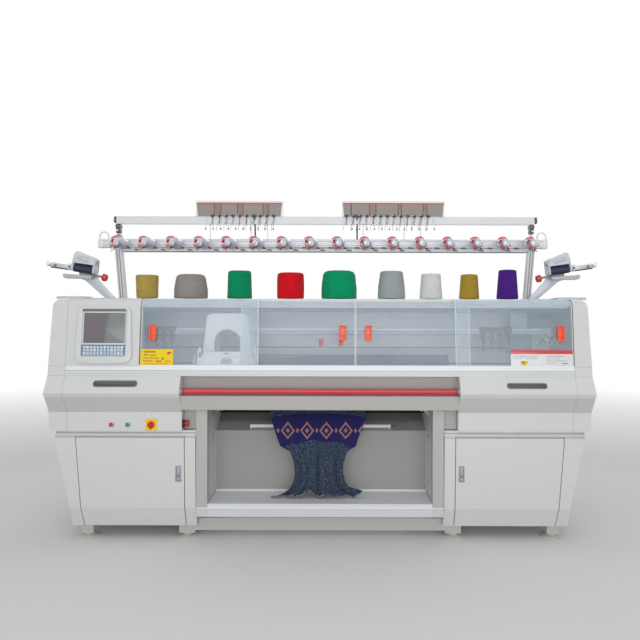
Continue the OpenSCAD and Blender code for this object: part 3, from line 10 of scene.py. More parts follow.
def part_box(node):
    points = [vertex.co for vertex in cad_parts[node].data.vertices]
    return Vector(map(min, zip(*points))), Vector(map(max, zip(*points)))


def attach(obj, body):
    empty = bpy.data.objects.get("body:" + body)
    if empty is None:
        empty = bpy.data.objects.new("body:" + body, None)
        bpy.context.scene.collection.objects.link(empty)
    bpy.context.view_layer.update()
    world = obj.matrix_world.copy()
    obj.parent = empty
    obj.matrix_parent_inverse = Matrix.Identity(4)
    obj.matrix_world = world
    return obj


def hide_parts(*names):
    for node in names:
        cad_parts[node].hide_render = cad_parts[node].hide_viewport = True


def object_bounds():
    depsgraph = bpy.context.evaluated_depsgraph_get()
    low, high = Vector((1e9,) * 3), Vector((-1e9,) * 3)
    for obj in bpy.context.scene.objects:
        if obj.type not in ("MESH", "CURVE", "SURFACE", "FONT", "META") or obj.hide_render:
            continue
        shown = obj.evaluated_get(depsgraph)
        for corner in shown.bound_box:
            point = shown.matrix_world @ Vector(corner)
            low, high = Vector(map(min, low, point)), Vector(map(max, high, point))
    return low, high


bl_info = {
    "name": "Flat knitting machine",
    "version": (1, 0, 0),
    "blender": (4, 5, 0),
    "location": "3D View > Sidebar > Machine",
    "description": "Builds the finishes and the detailed pieces of a flat knitting machine",
    "category": "Object",
}

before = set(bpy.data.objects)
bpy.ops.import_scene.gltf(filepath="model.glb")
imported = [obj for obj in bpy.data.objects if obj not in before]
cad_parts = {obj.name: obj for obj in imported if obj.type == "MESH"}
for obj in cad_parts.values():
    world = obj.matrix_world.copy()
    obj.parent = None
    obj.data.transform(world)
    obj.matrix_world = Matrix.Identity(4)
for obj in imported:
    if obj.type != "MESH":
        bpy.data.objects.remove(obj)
CAD_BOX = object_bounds()

FRONT = CAD_BOX[0].y                # front edge of the covers
SHEET_FOOT = 0.869                  # height at which the window sheets start
SHEET_RISE, SHEET_RUN = 0.286, 0.028    # how high they stand, and how far they lean back over that height
SHEET_LEAN = math.degrees(math.atan2(SHEET_RUN, SHEET_RISE))


def sheet_y(z, out=0.0):
    """Depth of the leaning window sheets at a height, measured from their inner face."""
    return FRONT + 0.044 + SHEET_RUN * (z - SHEET_FOOT) / SHEET_RISE + out


# Sizes and colours that a user may change

def size(name, about, default):
    """A length that a user may change."""
    return FloatProperty(name=name, description=about, default=default, unit="LENGTH")


def share(name, about, default):
    """A plain number from nought to one."""
    return FloatProperty(name=name, description=about, default=default, min=0, max=1, subtype="FACTOR")


def colour(name, about, default):
    """A linear colour."""
    return FloatVectorProperty(name=name, description=about, default=default, size=3, min=0, max=1,
                               subtype="COLOR")


class MachineColours(bpy.types.PropertyGroup):
    """Colours of the machine's finishes."""
    cover: colour("Covers", "Powder coat of the upper covers", (0.7, 0.715, 0.712))
    cabinet: colour("Cabinets", "Powder coat of cabinets, bin and base", (0.715, 0.725, 0.72))
    bin: colour("Bin", "Powder coat of the fabric bin", (0.5, 0.5, 0.487))
    stand: colour("Stand", "Anodised rails of the yarn stand", (0.7, 0.71, 0.75))
    steel: colour("Steel", "Bare steel", (0.52, 0.53, 0.55))
    beds: colour("Needle beds", "Steel of the needle beds", (0.018, 0.044, 0.092))
    carrier: colour("Carriers", "Dark steel of yarn carriers", (0.026, 0.04, 0.068))
    bar: colour("Start bar", "Gloss paint of the start bar", (0.62, 0.012, 0.028))
    red: colour("Red plastic", "Switches, caps and levers", (0.62, 0.015, 0.02))
    green: colour("Green plastic", "Start button", (0.0, 0.32, 0.11))
    orange: colour("Orange plastic", "Window handles", (1.0, 0.11, 0.012))
    yellow: colour("Yellow", "Switch plate and window plate", (0.98, 0.7, 0.004))
    keypad: colour("Keypad", "Printed keypad membrane", (0.055, 0.155, 0.33))
    screen: colour("Screen", "Screen at rest", (0.175, 0.155, 0.175))
    window: colour("Windows", "Tint of the clear window sheets", (0.7, 0.82, 0.93))
    unit: colour("Tension units", "Housing of the tension units", (0.62, 0.69, 0.76))


class MachineSizes(bpy.types.PropertyGroup):
    """Sizes of the detailed pieces."""
    grain: size("Coat grain", "Distance between the bumps of the powder coat", 0.0011)
    stitch: size("Stitch", "Width of one stitch of the knitted piece", 0.0062)
    strand: size("Strand", "Distance between the yarn's turns on a cone", 0.0032)
    unit_pitch: size("Unit pitch", "Distance between the tension units", 0.142)
    window_clear: share("Window haze", "How much the window sheets cover", 0.2)
    units: IntProperty(name="Tension units", description="Number of tension units", default=16, min=2, max=24)


# Shader maths and finishes

class Sock:
    """A node's output that takes part in arithmetic."""

    def __init__(self, net, out):
        self.net, self.out = net, out

    def _math(self, operation, *values):
        return self.net.node("ShaderNodeMath", {"operation": operation}, dict(enumerate(values)))

    def __add__(self, other):
        return self._math("ADD", self, other)

    def __radd__(self, other):
        return self._math("ADD", other, self)

    def __sub__(self, other):
        return self._math("SUBTRACT", self, other)

    def __rsub__(self, other):
        return self._math("SUBTRACT", other, self)

    def __mul__(self, other):
        return self._math("MULTIPLY", self, other)

    def __rmul__(self, other):
        return self._math("MULTIPLY", other, self)

    def __truediv__(self, other):
        return self._math("DIVIDE", self, other)

    def __gt__(self, other):
        return self._math("GREATER_THAN", self, other)

    def __lt__(self, other):
        return self._math("LESS_THAN", self, other)

    def __abs__(self):
        return self._math("ABSOLUTE", self)

    def fn(self, operation, *others):
        """Any other Math operation on this value."""
        return self._math(operation, self, *others)

    def cut(self):
        """This value, kept between nought and one."""
        return self.fn("MAXIMUM", 0.0).fn("MINIMUM", 1.0)

    def between(self, low, high):
        """One where this value lies between two numbers, else nought."""
        return (self > low) * (self < high)


class Net:
    """A node tree and the method that adds its nodes."""

    def __init__(self, tree, end):
        self.tree = tree
        tree.nodes.clear()
        self.end = tree.nodes.new(end)

    def node(self, kind, settings=None, values=None, output=0):
        """One node: its settings first, then the values or links of its sockets."""
        made = self.tree.nodes.new(kind)
        for key, value in (settings or {}).items():
            if key == "stops":
                ramp = made.color_ramp
                while len(ramp.elements) < len(value):
                    ramp.elements.new(0.5)
                for element, (place, shade) in zip(ramp.elements, value):
                    element.position, element.color = place, (*shade, 1)
            else:
                setattr(made, key, value)
        for key, value in (values or {}).items():
            if isinstance(value, Sock):
                self.tree.links.new(value.out, made.inputs[key])
            elif value is not None:
                made.inputs[key].default_value = value
        return Sock(self, made.outputs[output])

    def show(self, surface):
        """Leads a shader to the tree's end."""
        self.tree.links.new(surface.out, self.end.inputs[0])

    def direct(self):
        """One where the camera, a glossy ray or a ray through clear stuff arrives, else nought."""
        rays = [self.node("ShaderNodeLightPath", None, None, name)
                for name in ("Is Camera Ray", "Is Glossy Ray", "Is Transmission Ray")]
        return rays[0].fn("MAXIMUM", rays[1]).fn("MAXIMUM", rays[2])


class Finish(Net):
    """A material that is built from nodes."""

    def __init__(self, name):
        self.mat = bpy.data.materials.new(name)
        self.mat.use_nodes = True
        super().__init__(self.mat.node_tree, "ShaderNodeOutputMaterial")

    def mix(self, amount, low, high):
        """A colour between two colours."""
        def full(c):
            return c if isinstance(c, Sock) else (*c, 1)
        return self.node("ShaderNodeMix", {"data_type": "RGBA"}, {0: amount, 6: full(low), 7: full(high)}, 2)

    def place(self):
        """The point on the piece, in metres."""
        return self.node("ShaderNodeTexCoord", None, None, 3)

    def xyz(self):
        """The point's three coordinates."""
        split = self.node("ShaderNodeSeparateXYZ", None, {0: self.place()}).out.node
        return [Sock(self, out) for out in split.outputs]

    def noise(self, scale, detail=2.0, stretch=None, rough=0.5):
        """Cloudy values from nought to one, scale counted per metre."""
        at = self.place()
        if stretch:
            at = self.node("ShaderNodeVectorMath", {"operation": "MULTIPLY"}, {0: at, 1: stretch})
        return self.node("ShaderNodeTexNoise", None,
                         {"Vector": at, "Scale": scale, "Detail": detail, "Roughness": rough})

    def ramp(self, value, *stops):
        """Colours along a value."""
        return self.node("ShaderNodeValToRGB", {"stops": stops}, {0: value})

    def bump(self, height, distance, strength=1.0):
        """A normal from a height."""
        return self.node("ShaderNodeBump", None, {"Height": height, "Distance": distance, "Strength": strength})

    def done(self, base, rough=0.5, metal=0.0, normal=None, coat=None, **more):
        """The surface itself. Sockets that never change are plain numbers."""
        values = {"Base Color": base if isinstance(base, Sock) else (*base, 1), "Roughness": rough,
                  "Metallic": metal, "Normal": normal}
        if coat is not None:
            values.update({"Coat Weight": coat, "Coat Roughness": 0.12})
        values.update(more)
        self.show(self.node("ShaderNodeBsdfPrincipled", None, values))
        return self.mat


def tinted(base, factor):
    """A colour times a number."""
    return tuple(min(1.0, c * factor) for c in base)


def cover_fields(x, y, z):
    """Fields of the covers: painted shade on the lower front slope, which faces down, and painted light on the
    ends' inner side, which lies in shade.
    """
    near = abs(x)
    # painted light: the ends' inner side is paler than the coat, where it lies in shade
    inner = (near + z * 0.0333 < 1.3522) * (near > 1.25) * y.between(-0.335, 0.4) * (z > 0.88)
    # painted shade: the lower front slope darkens towards its foot, where it faces down
    shaded_slope = (y < -0.3) * (near + (0.735 - z) * 0.3 < 1.4735)
    return ((((0.728 - z) * 90).cut() * (z > 0.646) * shaded_slope * 0.55, (0.5, 0.495, 0.475)),
            (inner, (0.97, 0.97, 0.975)))


def table_fields(x, y, z):
    """Fields of the table: the guard behind the needles, made paler than its paint as painted light; painted
    shade on its beam; painted shade in the pocket at the right.
    """
    # painted light: the guard is paler than its paint, for light that the inside lacks
    brightened_guard = (z < 1.1965) * (y > 0.0055)
    # painted shade: the beam is coloured blue-grey where it lies in shade
    beam = z.between(1.1255, 1.156) * (y < 0.0055)
    # painted shade in the dark cavity at the right end of the guard
    pocket_shade = (z < 1.156) * x.between(1.053, 1.185) * (y > -0.05)
    return ((brightened_guard, (0.95, 0.955, 0.985)), (beam, (0.055, 0.1, 0.175)), (pocket_shade, (0.22, 0.27, 0.32)))


def sill_fields(x, y, z):
    """Fields of the sill: painted light on the tops of its tracks, a grey line and painted shade in the recess
    under them.
    """
    # painted light: the tops of the tracks are paler and bluer than the coat
    lit_tracks = (z > 0.8495) * 1
    line = z.between(0.847, 0.8495)
    # painted shade in the recess under the tracks
    low = z.between(0.8318, 0.8335)
    return ((lit_tracks, (0.86, 0.89, 0.93)), (line, (0.42, 0.43, 0.44)), (low * 0.6, (0.5, 0.5, 0.5)))


def frame_fields(x, y, z):
    """Fields of the frame: a warm painted shade in the recess behind the apron."""
    # painted shade: the upper part, in the recess, is darkened
    return (((z > 0.6) * 1, (0.385, 0.335, 0.325)),)


def bracket_fields(x, y, z):
    """Fields of the rail brackets: dark upper boxes, pale plates under them."""
    left = (x < 0) * (z > 1.003)
    left_low = (x < 0) * (z < 1.003)
    box = (x > 1.088) * (z > 1.05)
    beside = x.between(0.9, 1.088) * (z > 1.035)
    low = (x > 1.118) * (z < 1.05)
    return ((left, (0.22, 0.28, 0.38)), (left_low, (0.78, 0.81, 0.86)), (box, (0.15, 0.19, 0.27)),
            (beside, (0.62, 0.66, 0.7)), (low, (0.62, 0.64, 0.7)))


def bin_fields(x, y, z):
    """Fields of the bin: painted light on its side walls, its floor and the front of its lip; painted shade on
    its back wall, in its throat and under the lip's edge; black painted shade at the top of the throat; a
    painted highlight along the lip's edge.
    """
    near = abs(x)
    inside = near < 0.553
    # painted shade: the back wall is darker than the bin's coat
    wall = (z > 0.2) * inside
    # painted light: the floor is paler and cooler
    floor = (z < 0.2) * inside
    # painted light: the lip's front is paler
    front = (z < 0.168) * 0.8
    # painted shade: black at the top of the sloping plate
    top = (z > 0.578) * (near < 0.556) * (y > -0.04)
    # painted light: the side walls are paler
    side = near.between(0.5475, 0.6) * (y > -0.3) * (z > 0.2)
    # painted highlight along the lip's top edge, with a painted shade line under it
    lip_highlight = z.between(0.1675, 0.1715) * (y < -0.3)
    shade = z.between(0.1655, 0.1675) * (y < -0.3)
    # painted shade in the throat under the apron
    throat_shade = (z > 0.545) * inside * (y > -0.3)
    return ((side, (0.68, 0.68, 0.66)), (wall, (0.375, 0.371, 0.361)), (throat_shade * 0.55, (0.17, 0.17, 0.17)),
            (floor * 0.8, (0.84, 0.865, 0.9)), (front, (0.64, 0.66, 0.69)), (top, (0.05, 0.05, 0.05)),
            (lip_highlight, (0.92, 0.93, 0.95)), (shade * 0.5, (0.3, 0.31, 0.33)))


def powder_coat(name, base, grain, rough=0.42, wear=0.05, across=(), upright=(), fields=None):
    """Powder-coated sheet: fine orange peel, slight clouding, dust low down, dark lines at its joints and any
    painted shadow lines given with them.
    """
    f = Finish(name)
    cloud = f.noise(3.2, 3)
    dust = f.noise(42, 4, (1, 1, 0.35))
    peel = f.noise(1 / grain, 1.5)
    x, y, z = f.xyz()
    low = (0.62 - z).fn("MAXIMUM", 0.0) * 0.3
    tone = f.mix(cloud * 0.5, base, tinted(base, 0.955))
    tone = f.mix(low * dust * (1 + wear), tone, (0.5, 0.47, 0.42))
    if fields:
        for mask, shade in fields(x, y, z):
            tone = f.mix(mask, tone, shade)
    lines = [abs(z - at_z) < half for at_z, half in across]
    lines += [abs(abs(x) - at_x) < half for at_x, half in upright]
    for line in lines:
        tone = f.mix(line * 0.62, tone, tinted(base, 0.36))
    return f.done(tone, rough + (cloud - 0.5) * 0.1 + (dust - 0.5) * 0.06, 0.0,
                  f.bump(peel * 0.6 + cloud * 0.4, 0.00025, 0.22), 0.12)


def brushed(name, base, along=(1, 40, 40), rough=0.32, metal=0.92):
    """Drawn or ground metal with scratches along one way."""
    f = Finish(name)
    lines = f.noise(60, 4, along)
    spots = f.noise(9, 3)
    tone = f.mix(lines, tinted(base, 0.84), tinted(base, 1.14))
    tone = f.mix((spots - 0.55).fn("MAXIMUM", 0.0) * 1.2, tone, tinted(base, 0.6))
    return f.done(tone, rough + (lines - 0.5) * 0.22, metal, f.bump(lines, 0.0002, 0.25))


def moulded(name, base, rough=0.3, coat=0.25, grain=900):
    """Moulded plastic with a fine grain and slight flow marks."""
    f = Finish(name)
    flow = f.noise(14, 3, (1, 1, 0.4))
    fine = f.noise(grain, 1)
    tone = f.mix(flow * 0.6, base, tinted(base, 0.86))
    return f.done(tone, rough + (flow - 0.5) * 0.12, 0.0, f.bump(fine, 0.00012, 0.25), coat)


def rubber(name, base):
    """Dull rubber with dust in it."""
    f = Finish(name)
    dust = f.noise(120, 4)
    return f.done(f.mix(dust * 0.7, base, tinted(base, 2.0)), 0.62 + dust * 0.2, 0.0, f.bump(dust, 0.0004, 0.4))


def window_sheet(name, base, haze, left, right):
    """Clear acrylic: a thin blue haze, faint wipe marks, bright cut edges and a painted highlight on the bend
    at its top.
    """
    f = Finish(name)
    wipe = f.noise(5, 4, (1, 1, 3.0))
    x, _, z = f.xyz()
    # painted highlight: the sheet grows more opaque and so paler on its bend
    top = ((z - 1.16) * 34).cut()
    edge = (x < left + 0.0035) + (x > right - 0.0035)
    cover = (wipe * 0.07 + top * 0.36 + edge * 0.55 + (haze - 0.03)).cut()
    tone = f.mix(wipe, base, tinted(base, 1.1))
    tone = f.mix(edge.cut(), tone, (0.86, 0.9, 0.94))
    return f.done(tone, 0.1 + wipe * 0.08, 0.0, None, None, Alpha=cover, **{"Specular IOR Level": 0.5})


def wound_yarn(name, light, dark, strand, cross=0.5, fleck=0.12, sheen=0.06):
    """Yarn wound crosswise on a cone: strands climb both ways round it."""
    f = Finish(name)
    x, y, z = f.xyz()
    turn = y.fn("ARCTAN2", x) / math.tau
    soft = f.noise(26, 3)
    rows = z / strand
    up = ((rows + turn * 9 + soft * 0.8) * math.tau).fn("SINE") * 0.5 + 0.5
    down = ((rows * 0.93 - turn * 8 + soft * 0.6) * math.tau).fn("SINE") * 0.5 + 0.5
    layer = ((f.noise(34, 2, (1, 1, 2.2)) - 0.5) * 9 + 0.5).cut() * cross
    height = up * (1 - layer) + down * layer
    fuzz = f.noise(700, 3)
    patch = f.noise(22, 3, (1, 1, 2.0))
    # painted light and shade: the ridges of the winding take the light colour and its grooves the dark one
    tone = f.mix(height * 0.75 + fuzz * 0.25, dark, light)
    tone = f.mix(((patch - 0.45) * 3).cut() * 0.3, tone, tinted(dark, 0.9))
    tone = f.mix((fuzz - 0.62).fn("MAXIMUM", 0.0) * 8 * fleck, tone, tinted(light, 1.4))
    return f.done(tone, 0.88, 0.0, f.bump(height + fuzz * 0.5, 0.0011, 0.8),
                  **{"Sheen Weight": sheen, "Sheen Roughness": 0.5, "Specular IOR Level": 0.18})


def knit(name, stitch, yarns, motif=None):
    """Knitted stitches in rows of small Vs, in a melange of yarns or with a worked-in motif."""
    f = Finish(name)
    x, _, z = f.xyz()
    across = x / stitch
    side = abs(across.fn("FRACT") - 0.5)
    climb = z / (stitch * 0.72) + side * 1.3
    leg = (climb * math.tau).fn("SINE") * 0.5 + 0.5
    rib = (side * 2 * math.pi).fn("SINE")
    height = leg * 0.6 + rib * 0.6
    fuzz = f.noise(520, 3)
    if motif:
        # diamonds in a row, with a small diamond in each
        cell = abs(((x + 0.019) / 0.098).fn("FRACT") - 0.5) * 0.098
        drop = abs(z - 0.532)
        far = cell + drop * 0.8
        ring = far.between(0.0255, 0.036) + (far < 0.011)
        cross = (cell > 0.0455) * (drop < 0.011) + (cell > 0.0425) * (drop < 0.0045)
        tone = f.mix((ring + cross).fn("MINIMUM", 1.0), yarns[0], motif)
        tone = f.mix(fuzz * 0.25, tone, yarns[1])
    else:
        row = f.noise(150, 3, (1, 1, 1.6), 0.7)
        tone = f.ramp(row, (0.36, yarns[0]), (0.48, yarns[1]), (0.56, yarns[2]), (0.64, yarns[3]))
    # painted shade between the stitches: their low parts take a darker copy of the first yarn
    tone = f.mix(height * 0.7, tinted(yarns[0], 0.45), tone)
    return f.done(tone, 0.9, 0.0, f.bump(height + fuzz * 0.4, 0.0016, 0.9),
                  **{"Sheen Weight": 0.12, "Sheen Roughness": 0.5})


def glow(name, base, strength):
    """A switched-off tube of milk glass with a soft painted glow of its own."""
    f = Finish(name)
    milk = f.noise(30, 2, (0.2, 1, 1))
    return f.done(f.mix(milk, base, tinted(base, 0.9)), 0.22, 0.0, None, 0.4,
                  **{"Emission Color": (*base, 1), "Emission Strength": strength})


def screen_glass(name, base):
    """A resting screen: dark glass with a lighter field towards one side, where the room is mirrored."""
    f = Finish(name)
    x, _, z = f.xyz()
    slant = ((x + 1.043) - (z - 1.05) * 0.13) * 60
    fall = (slant + 0.5).cut()
    smear = f.noise(18, 4, (1, 1, 2))
    tone = f.mix(fall * (0.75 + smear * 0.4), base, (0.225, 0.25, 0.245))
    return f.done(tone, 0.16 + smear * 0.14, 0.0, None, 0.35, **{"Specular IOR Level": 0.3})


def bed_steel(name, base):
    """Oiled bed steel with lint in it: a dark melange that turns pale at the far left, with a yarn on it."""
    f = Finish(name)
    x, _, z = f.xyz()
    grains = f.noise(130, 4, (1, 1, 0.5), 0.7)
    lint = f.noise(34, 3, (1, 1, 0.4))
    tone = f.ramp(grains, (0.3, tinted(base, 0.5)), (0.46, base), (0.58, tinted(base, 1.7)),
                  (0.72, tinted(base, 3.2)))
    pale = ((-0.56 - x) * 14).cut()
    tone = f.mix(pale, tone, (0.7, 0.72, 0.77))
    tone = f.mix(((lint - 0.62) * 6).cut() * 0.35, tone, (0.3, 0.34, 0.37))
    sag = z - 0.9045 - abs(x + 0.19) * 0.03
    thread = (abs(sag) < 0.0012) * x.between(-0.285, -0.105)
    tone = f.mix(thread, tone, (0.8, 0.36, 0.04))
    return f.done(tone, 0.65 + (grains - 0.5) * 0.2, 0.05, f.bump(grains, 0.0003, 0.35),
                  **{"Specular IOR Level": 0.2})


def rail_steel(name, base):
    """A ground rail: painted highlights along its top edge and on a line below it, and a painted shade line
    under them.
    """
    f = Finish(name)
    z = f.xyz()[2]
    lines = f.noise(60, 4, (1, 50, 50))
    tone = f.mix(lines, tinted(base, 0.9), tinted(base, 1.1))
    # painted highlights
    tone = f.mix((z > 1.0435) + z.between(1.03, 1.0315), tone, (0.95, 0.97, 1.0))
    # painted shade line
    tone = f.mix(z.between(1.01, 1.0205), tone, tinted(base, 0.35))
    return f.done(tone, 0.42 + (lines - 0.5) * 0.2, 0.1, f.bump(lines, 0.0002, 0.25))


def switch_metal(name, base):
    """Bright rings, with the emergency stop's collar in black plastic."""
    f = Finish(name)
    x = f.xyz()[0]
    inner = x > -0.75
    worn = f.noise(300, 3)
    return f.done(f.mix(inner, f.mix(worn, base, tinted(base, 0.85)), (0.02, 0.02, 0.023)),
                  0.22 + worn * 0.12, (1 - inner) * 0.9, None, 0.2)


def guide_tray(name, rim, face, stripe):
    """Sheet plates with a pale rim, a red stripe under it and hanging strands; their face, which leans down, is
    painted grey-brown as shade.
    """
    f = Finish(name)
    x, y, z = f.xyz()
    worn = f.noise(24, 3)
    up = z - 1.644
    # painted shade: the face takes a grey-brown colour instead of the plates' pale paint
    tone = f.mix(worn, face, tinted(face, 0.86))
    for low, high in ((-0.577, -0.536), (-0.452, -0.418), (-0.316, -0.281), (0.152, 0.16), (0.252, 0.292),
                      (0.405, 0.428), (0.538, 0.563)):
        inside = x.between(low, high)
        ends = inside - x.between(low + 0.005, high - 0.005)
        tone = f.mix(inside * 0.45, tone, (0.3, 0.09, 0.05))
        tone = f.mix(ends.cut() * 0.75, tone, (0.05, 0.03, 0.035))
    tone = f.mix(up.between(0.0655, 0.0725), tone, stripe)
    for mid, half in ((-0.44, 0.232), (0.382, 0.274)):
        near = abs(x - mid)
        own = near < half + 0.01
        tone = f.mix(own * (near + (0.082 - up) * 0.1 > half - 0.003), tone, rim)
    tone = f.mix(((up > 0.0725) + (y > -0.1045)).cut(), tone, rim)
    return f.done(tone, 0.42 + worn * 0.1, 0.0, f.bump(worn, 0.0002, 0.15), 0.1)


# Shapes

def at(x=0.0, y=0.0, z=0.0, rx=0.0, ry=0.0, rz=0.0):
    """A place and a turn in degrees."""
    return Matrix.Translation((x, y, z)) @ Euler([math.radians(a) for a in (rx, ry, rz)]).to_matrix().to_4x4()


def soften(part, edge, steps=2, sharper=25):
    """Rounds the edges of a part that are sharper than an angle."""
    if edge > 0:
        angle = math.radians(sharper)
        edges = [e for e in part.edges if len(e.link_faces) == 2 and e.calc_face_angle(0) > angle]
        bmesh.ops.bevel(part, geom=edges, offset=edge, offset_type="OFFSET", segments=steps, profile=0.5,
                        affect="EDGES", clamp_overlap=True)
    return part


def prism(outline, depth, edge=0.0, steps=2):
    """An outline in X and Y, drawn out along Z."""
    part = bmesh.new()
    low = [part.verts.new((p[0], p[1], 0)) for p in outline]
    high = [part.verts.new((p[0], p[1], depth)) for p in outline]
    part.faces.new(list(reversed(low)))
    part.faces.new(high)
    n = len(outline)
    for i in range(n):
        part.faces.new((low[i], low[(i + 1) % n], high[(i + 1) % n], high[i]))
    bmesh.ops.recalc_face_normals(part, faces=part.faces)
    return soften(part, edge, steps)


def skin(part, rings):
    """Joins rings of corners to one closed skin."""
    for a, b in zip(rings, rings[1:]):
        for k in range(len(a)):
            n = (k + 1) % len(a)
            part.faces.new((a[k], a[n], b[n], b[k]))
    part.faces.new(list(reversed(rings[0])))
    part.faces.new(rings[-1])
    bmesh.ops.recalc_face_normals(part, faces=part.faces)
    return part


def slab(w, d, h, edge=0.0, steps=2):
    """A block with rounded edges, its middle at the origin and its foot at Z 0."""
    return prism([(-w / 2, -d / 2), (w / 2, -d / 2), (w / 2, d / 2), (-w / 2, d / 2)], h, edge, steps)


def arc(cx, cy, r, start, stop, steps):
    """Points of an arc, in degrees."""
    return [(cx + r * math.cos(math.radians(start + (stop - start) * i / steps)),
             cy + r * math.sin(math.radians(start + (stop - start) * i / steps))) for i in range(steps + 1)]


def taper(foot, top, h):
    """An outline that narrows upwards, given by half its width at the foot and at the top."""
    return [(-foot, 0), (foot, 0), (top, h), (-top, h)]


def plate_outline(w, h, r, steps=6):
    """A rectangle with round corners."""
    x, y = w / 2 - r, h / 2 - r
    return arc(x, y, r, 0, 90, steps) + arc(-x, y, r, 90, 180, steps) + arc(-x, -y, r, 180, 270, steps) \
        + arc(x, -y, r, 270, 360, steps)


def panel(w, h, r, depth, edge=0.0, steps=2, corner=6):
    """A flat plate with round corners."""
    return prism(plate_outline(w, h, r, corner), depth, edge, steps)


def framed(outer, hole, foot, depth, edge, steps):
    """An outline with a hole in it, drawn out along Z from a foot."""
    part = bmesh.new()
    edges = []
    for outline in (outer, hole):
        loop = [part.verts.new((x, y, foot)) for x, y in outline]
        edges += [part.edges.new(pair) for pair in zip(loop, loop[1:] + loop[:1])]
    bmesh.ops.triangle_fill(part, use_beauty=True, use_dissolve=True, edges=edges)
    grown = bmesh.ops.extrude_face_region(part, geom=part.faces[:])
    bmesh.ops.translate(part, vec=(0, 0, depth),
                        verts=[v for v in grown["geom"] if isinstance(v, bmesh.types.BMVert)])
    bmesh.ops.recalc_face_normals(part, faces=part.faces)
    return soften(part, edge, steps, 40)


def lathe(profile, steps=40, wobble=None):
    """A profile of (radius, height) turned round Z."""
    part = bmesh.new()
    rings = []
    for r, z in profile:
        if r < 1e-6:
            rings.append([part.verts.new((0, 0, z))])
            continue
        ring = []
        for k in range(steps):
            a = math.tau * k / steps
            rr, zz = wobble(r, z, a) if wobble else (r, z)
            ring.append(part.verts.new((rr * math.cos(a), rr * math.sin(a), zz)))
        rings.append(ring)
    for a, b in zip(rings, rings[1:]):
        for k in range(steps):
            n = (k + 1) % steps
            if len(a) == 1 and len(b) > 1:
                part.faces.new((a[0], b[k], b[n]))
            elif len(b) == 1 and len(a) > 1:
                part.faces.new((a[k], b[0], a[n]))
            elif len(a) > 1:
                part.faces.new((a[k], b[k], b[n], a[n]))
    bmesh.ops.recalc_face_normals(part, faces=part.faces)
    return part


def ball(rx, ry, rz, steps=20):
    """An egg shape."""
    part = lathe([(math.sin(math.pi * i / 12) if 0 < i < 12 else 0.0, -math.cos(math.pi * i / 12))
                  for i in range(13)], steps)
    bmesh.ops.scale(part, vec=(rx, ry, rz), verts=part.verts)
    return part


def rod(r, length, steps=16, edge=0.0):
    """A round bar along Z."""
    e = min(edge, r * 0.6)
    return lathe([(0, 0), (r - e, 0), (r, e), (r, length - e), (r - e, length), (0, length)] if e > 0
                 else [(0, 0), (r, 0), (r, length), (0, length)], steps)


def ring(radius, wire, steps=24, wire_steps=8):
    """A ring of wire round Z."""
    part = lathe([(radius + wire * math.cos(math.tau * i / wire_steps),
                   wire * math.sin(math.tau * i / wire_steps)) for i in range(wire_steps + 1)], steps)
    bmesh.ops.remove_doubles(part, verts=part.verts, dist=1e-6)
    return part


def tube(path, r, steps=8):
    """A wire along a path."""
    part = bmesh.new()
    points = [Vector(p) for p in path]
    side = Vector((0, 0, 1))
    rings = []
    for i, p in enumerate(points):
        ahead = (points[min(i + 1, len(points) - 1)] - points[max(i - 1, 0)]).normalized()
        u = side.cross(ahead)
        if u.length < 0.05:
            u = Vector((1, 0, 0)).cross(ahead)
        u.normalize()
        v = ahead.cross(u)
        turns = [math.tau * k / steps for k in range(steps)]
        rings.append([part.verts.new(p + r * (u * math.cos(a) + v * math.sin(a))) for a in turns])
    return skin(part, rings)


def bend(points, steps=6):
    """A smooth line through points."""
    out = []
    p = [Vector(points[0])] + [Vector(q) for q in points] + [Vector(points[-1])]
    for i in range(1, len(p) - 2):
        for k in range(steps):
            t = k / steps
            out.append(0.5 * ((2 * p[i]) + (p[i + 1] - p[i - 1]) * t
                              + (2 * p[i - 1] - 5 * p[i] + 4 * p[i + 1] - p[i + 2]) * t * t
                              + (3 * p[i] - p[i - 1] - 3 * p[i + 1] + p[i + 2]) * t ** 3))
    out.append(p[-2])
    return out


class Piece:
    """One object that is put together from parts, each with its finish."""

    def __init__(self, name, base=None):
        self.name, self.bm, self.mats = name, bmesh.new(), []
        self.base = base or Matrix()

    def put(self, part, finish, *place, on=None):
        """Takes a part in with one of the shop's finishes, at a place on the piece's base or another one."""
        self.add(part, shop()[finish], (on or self.base) @ at(*place))

    def add(self, part, mat, matrix=None):
        """Takes a part in, at a place."""
        if matrix is not None:
            bmesh.ops.transform(part, matrix=matrix, verts=part.verts)
            if matrix.determinant() < 0:
                bmesh.ops.reverse_faces(part, faces=part.faces)
        if mat not in self.mats:
            self.mats.append(mat)
        for face in part.faces:
            face.material_index = self.mats.index(mat)
        mesh = bpy.data.meshes.new("part")
        part.to_mesh(mesh)
        part.free()
        self.bm.from_mesh(mesh)
        bpy.data.meshes.remove(mesh)

    def make(self, body, replaces=(), smooth=38):
        """Makes the object, which rides on a body."""
        mesh = bpy.data.meshes.new(self.name)
        self.bm.to_mesh(mesh)
        self.bm.free()
        for mat in self.mats:
            mesh.materials.append(mat)
        mesh.shade_smooth()
        mesh.set_sharp_from_angle(angle=math.radians(smooth))
        made = bpy.data.objects.new(self.name, mesh)
        bpy.context.scene.collection.objects.link(made)
        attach(made, body)
        if replaces:
            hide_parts(*replaces)
        return made


def middle(node):
    """The middle of a CAD node's box."""
    return [(a + b) / 2 for a, b in zip(*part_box(node))]


def unit_places(sizes):
    """X of every tension unit on the feeder beam."""
    return [0.025 + (i - (sizes.units - 1) / 2) * sizes.unit_pitch for i in range(sizes.units)]


def finish_node(finish, *names):
    """Gives CAD nodes one of the shop's finishes."""
    mat = shop()[finish]
    for name in names:
        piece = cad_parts[name]
        if piece.data.materials:
            for i in range(len(piece.data.materials)):
                piece.data.materials[i] = mat
        else:
            piece.data.materials.append(mat)


MADE = {}


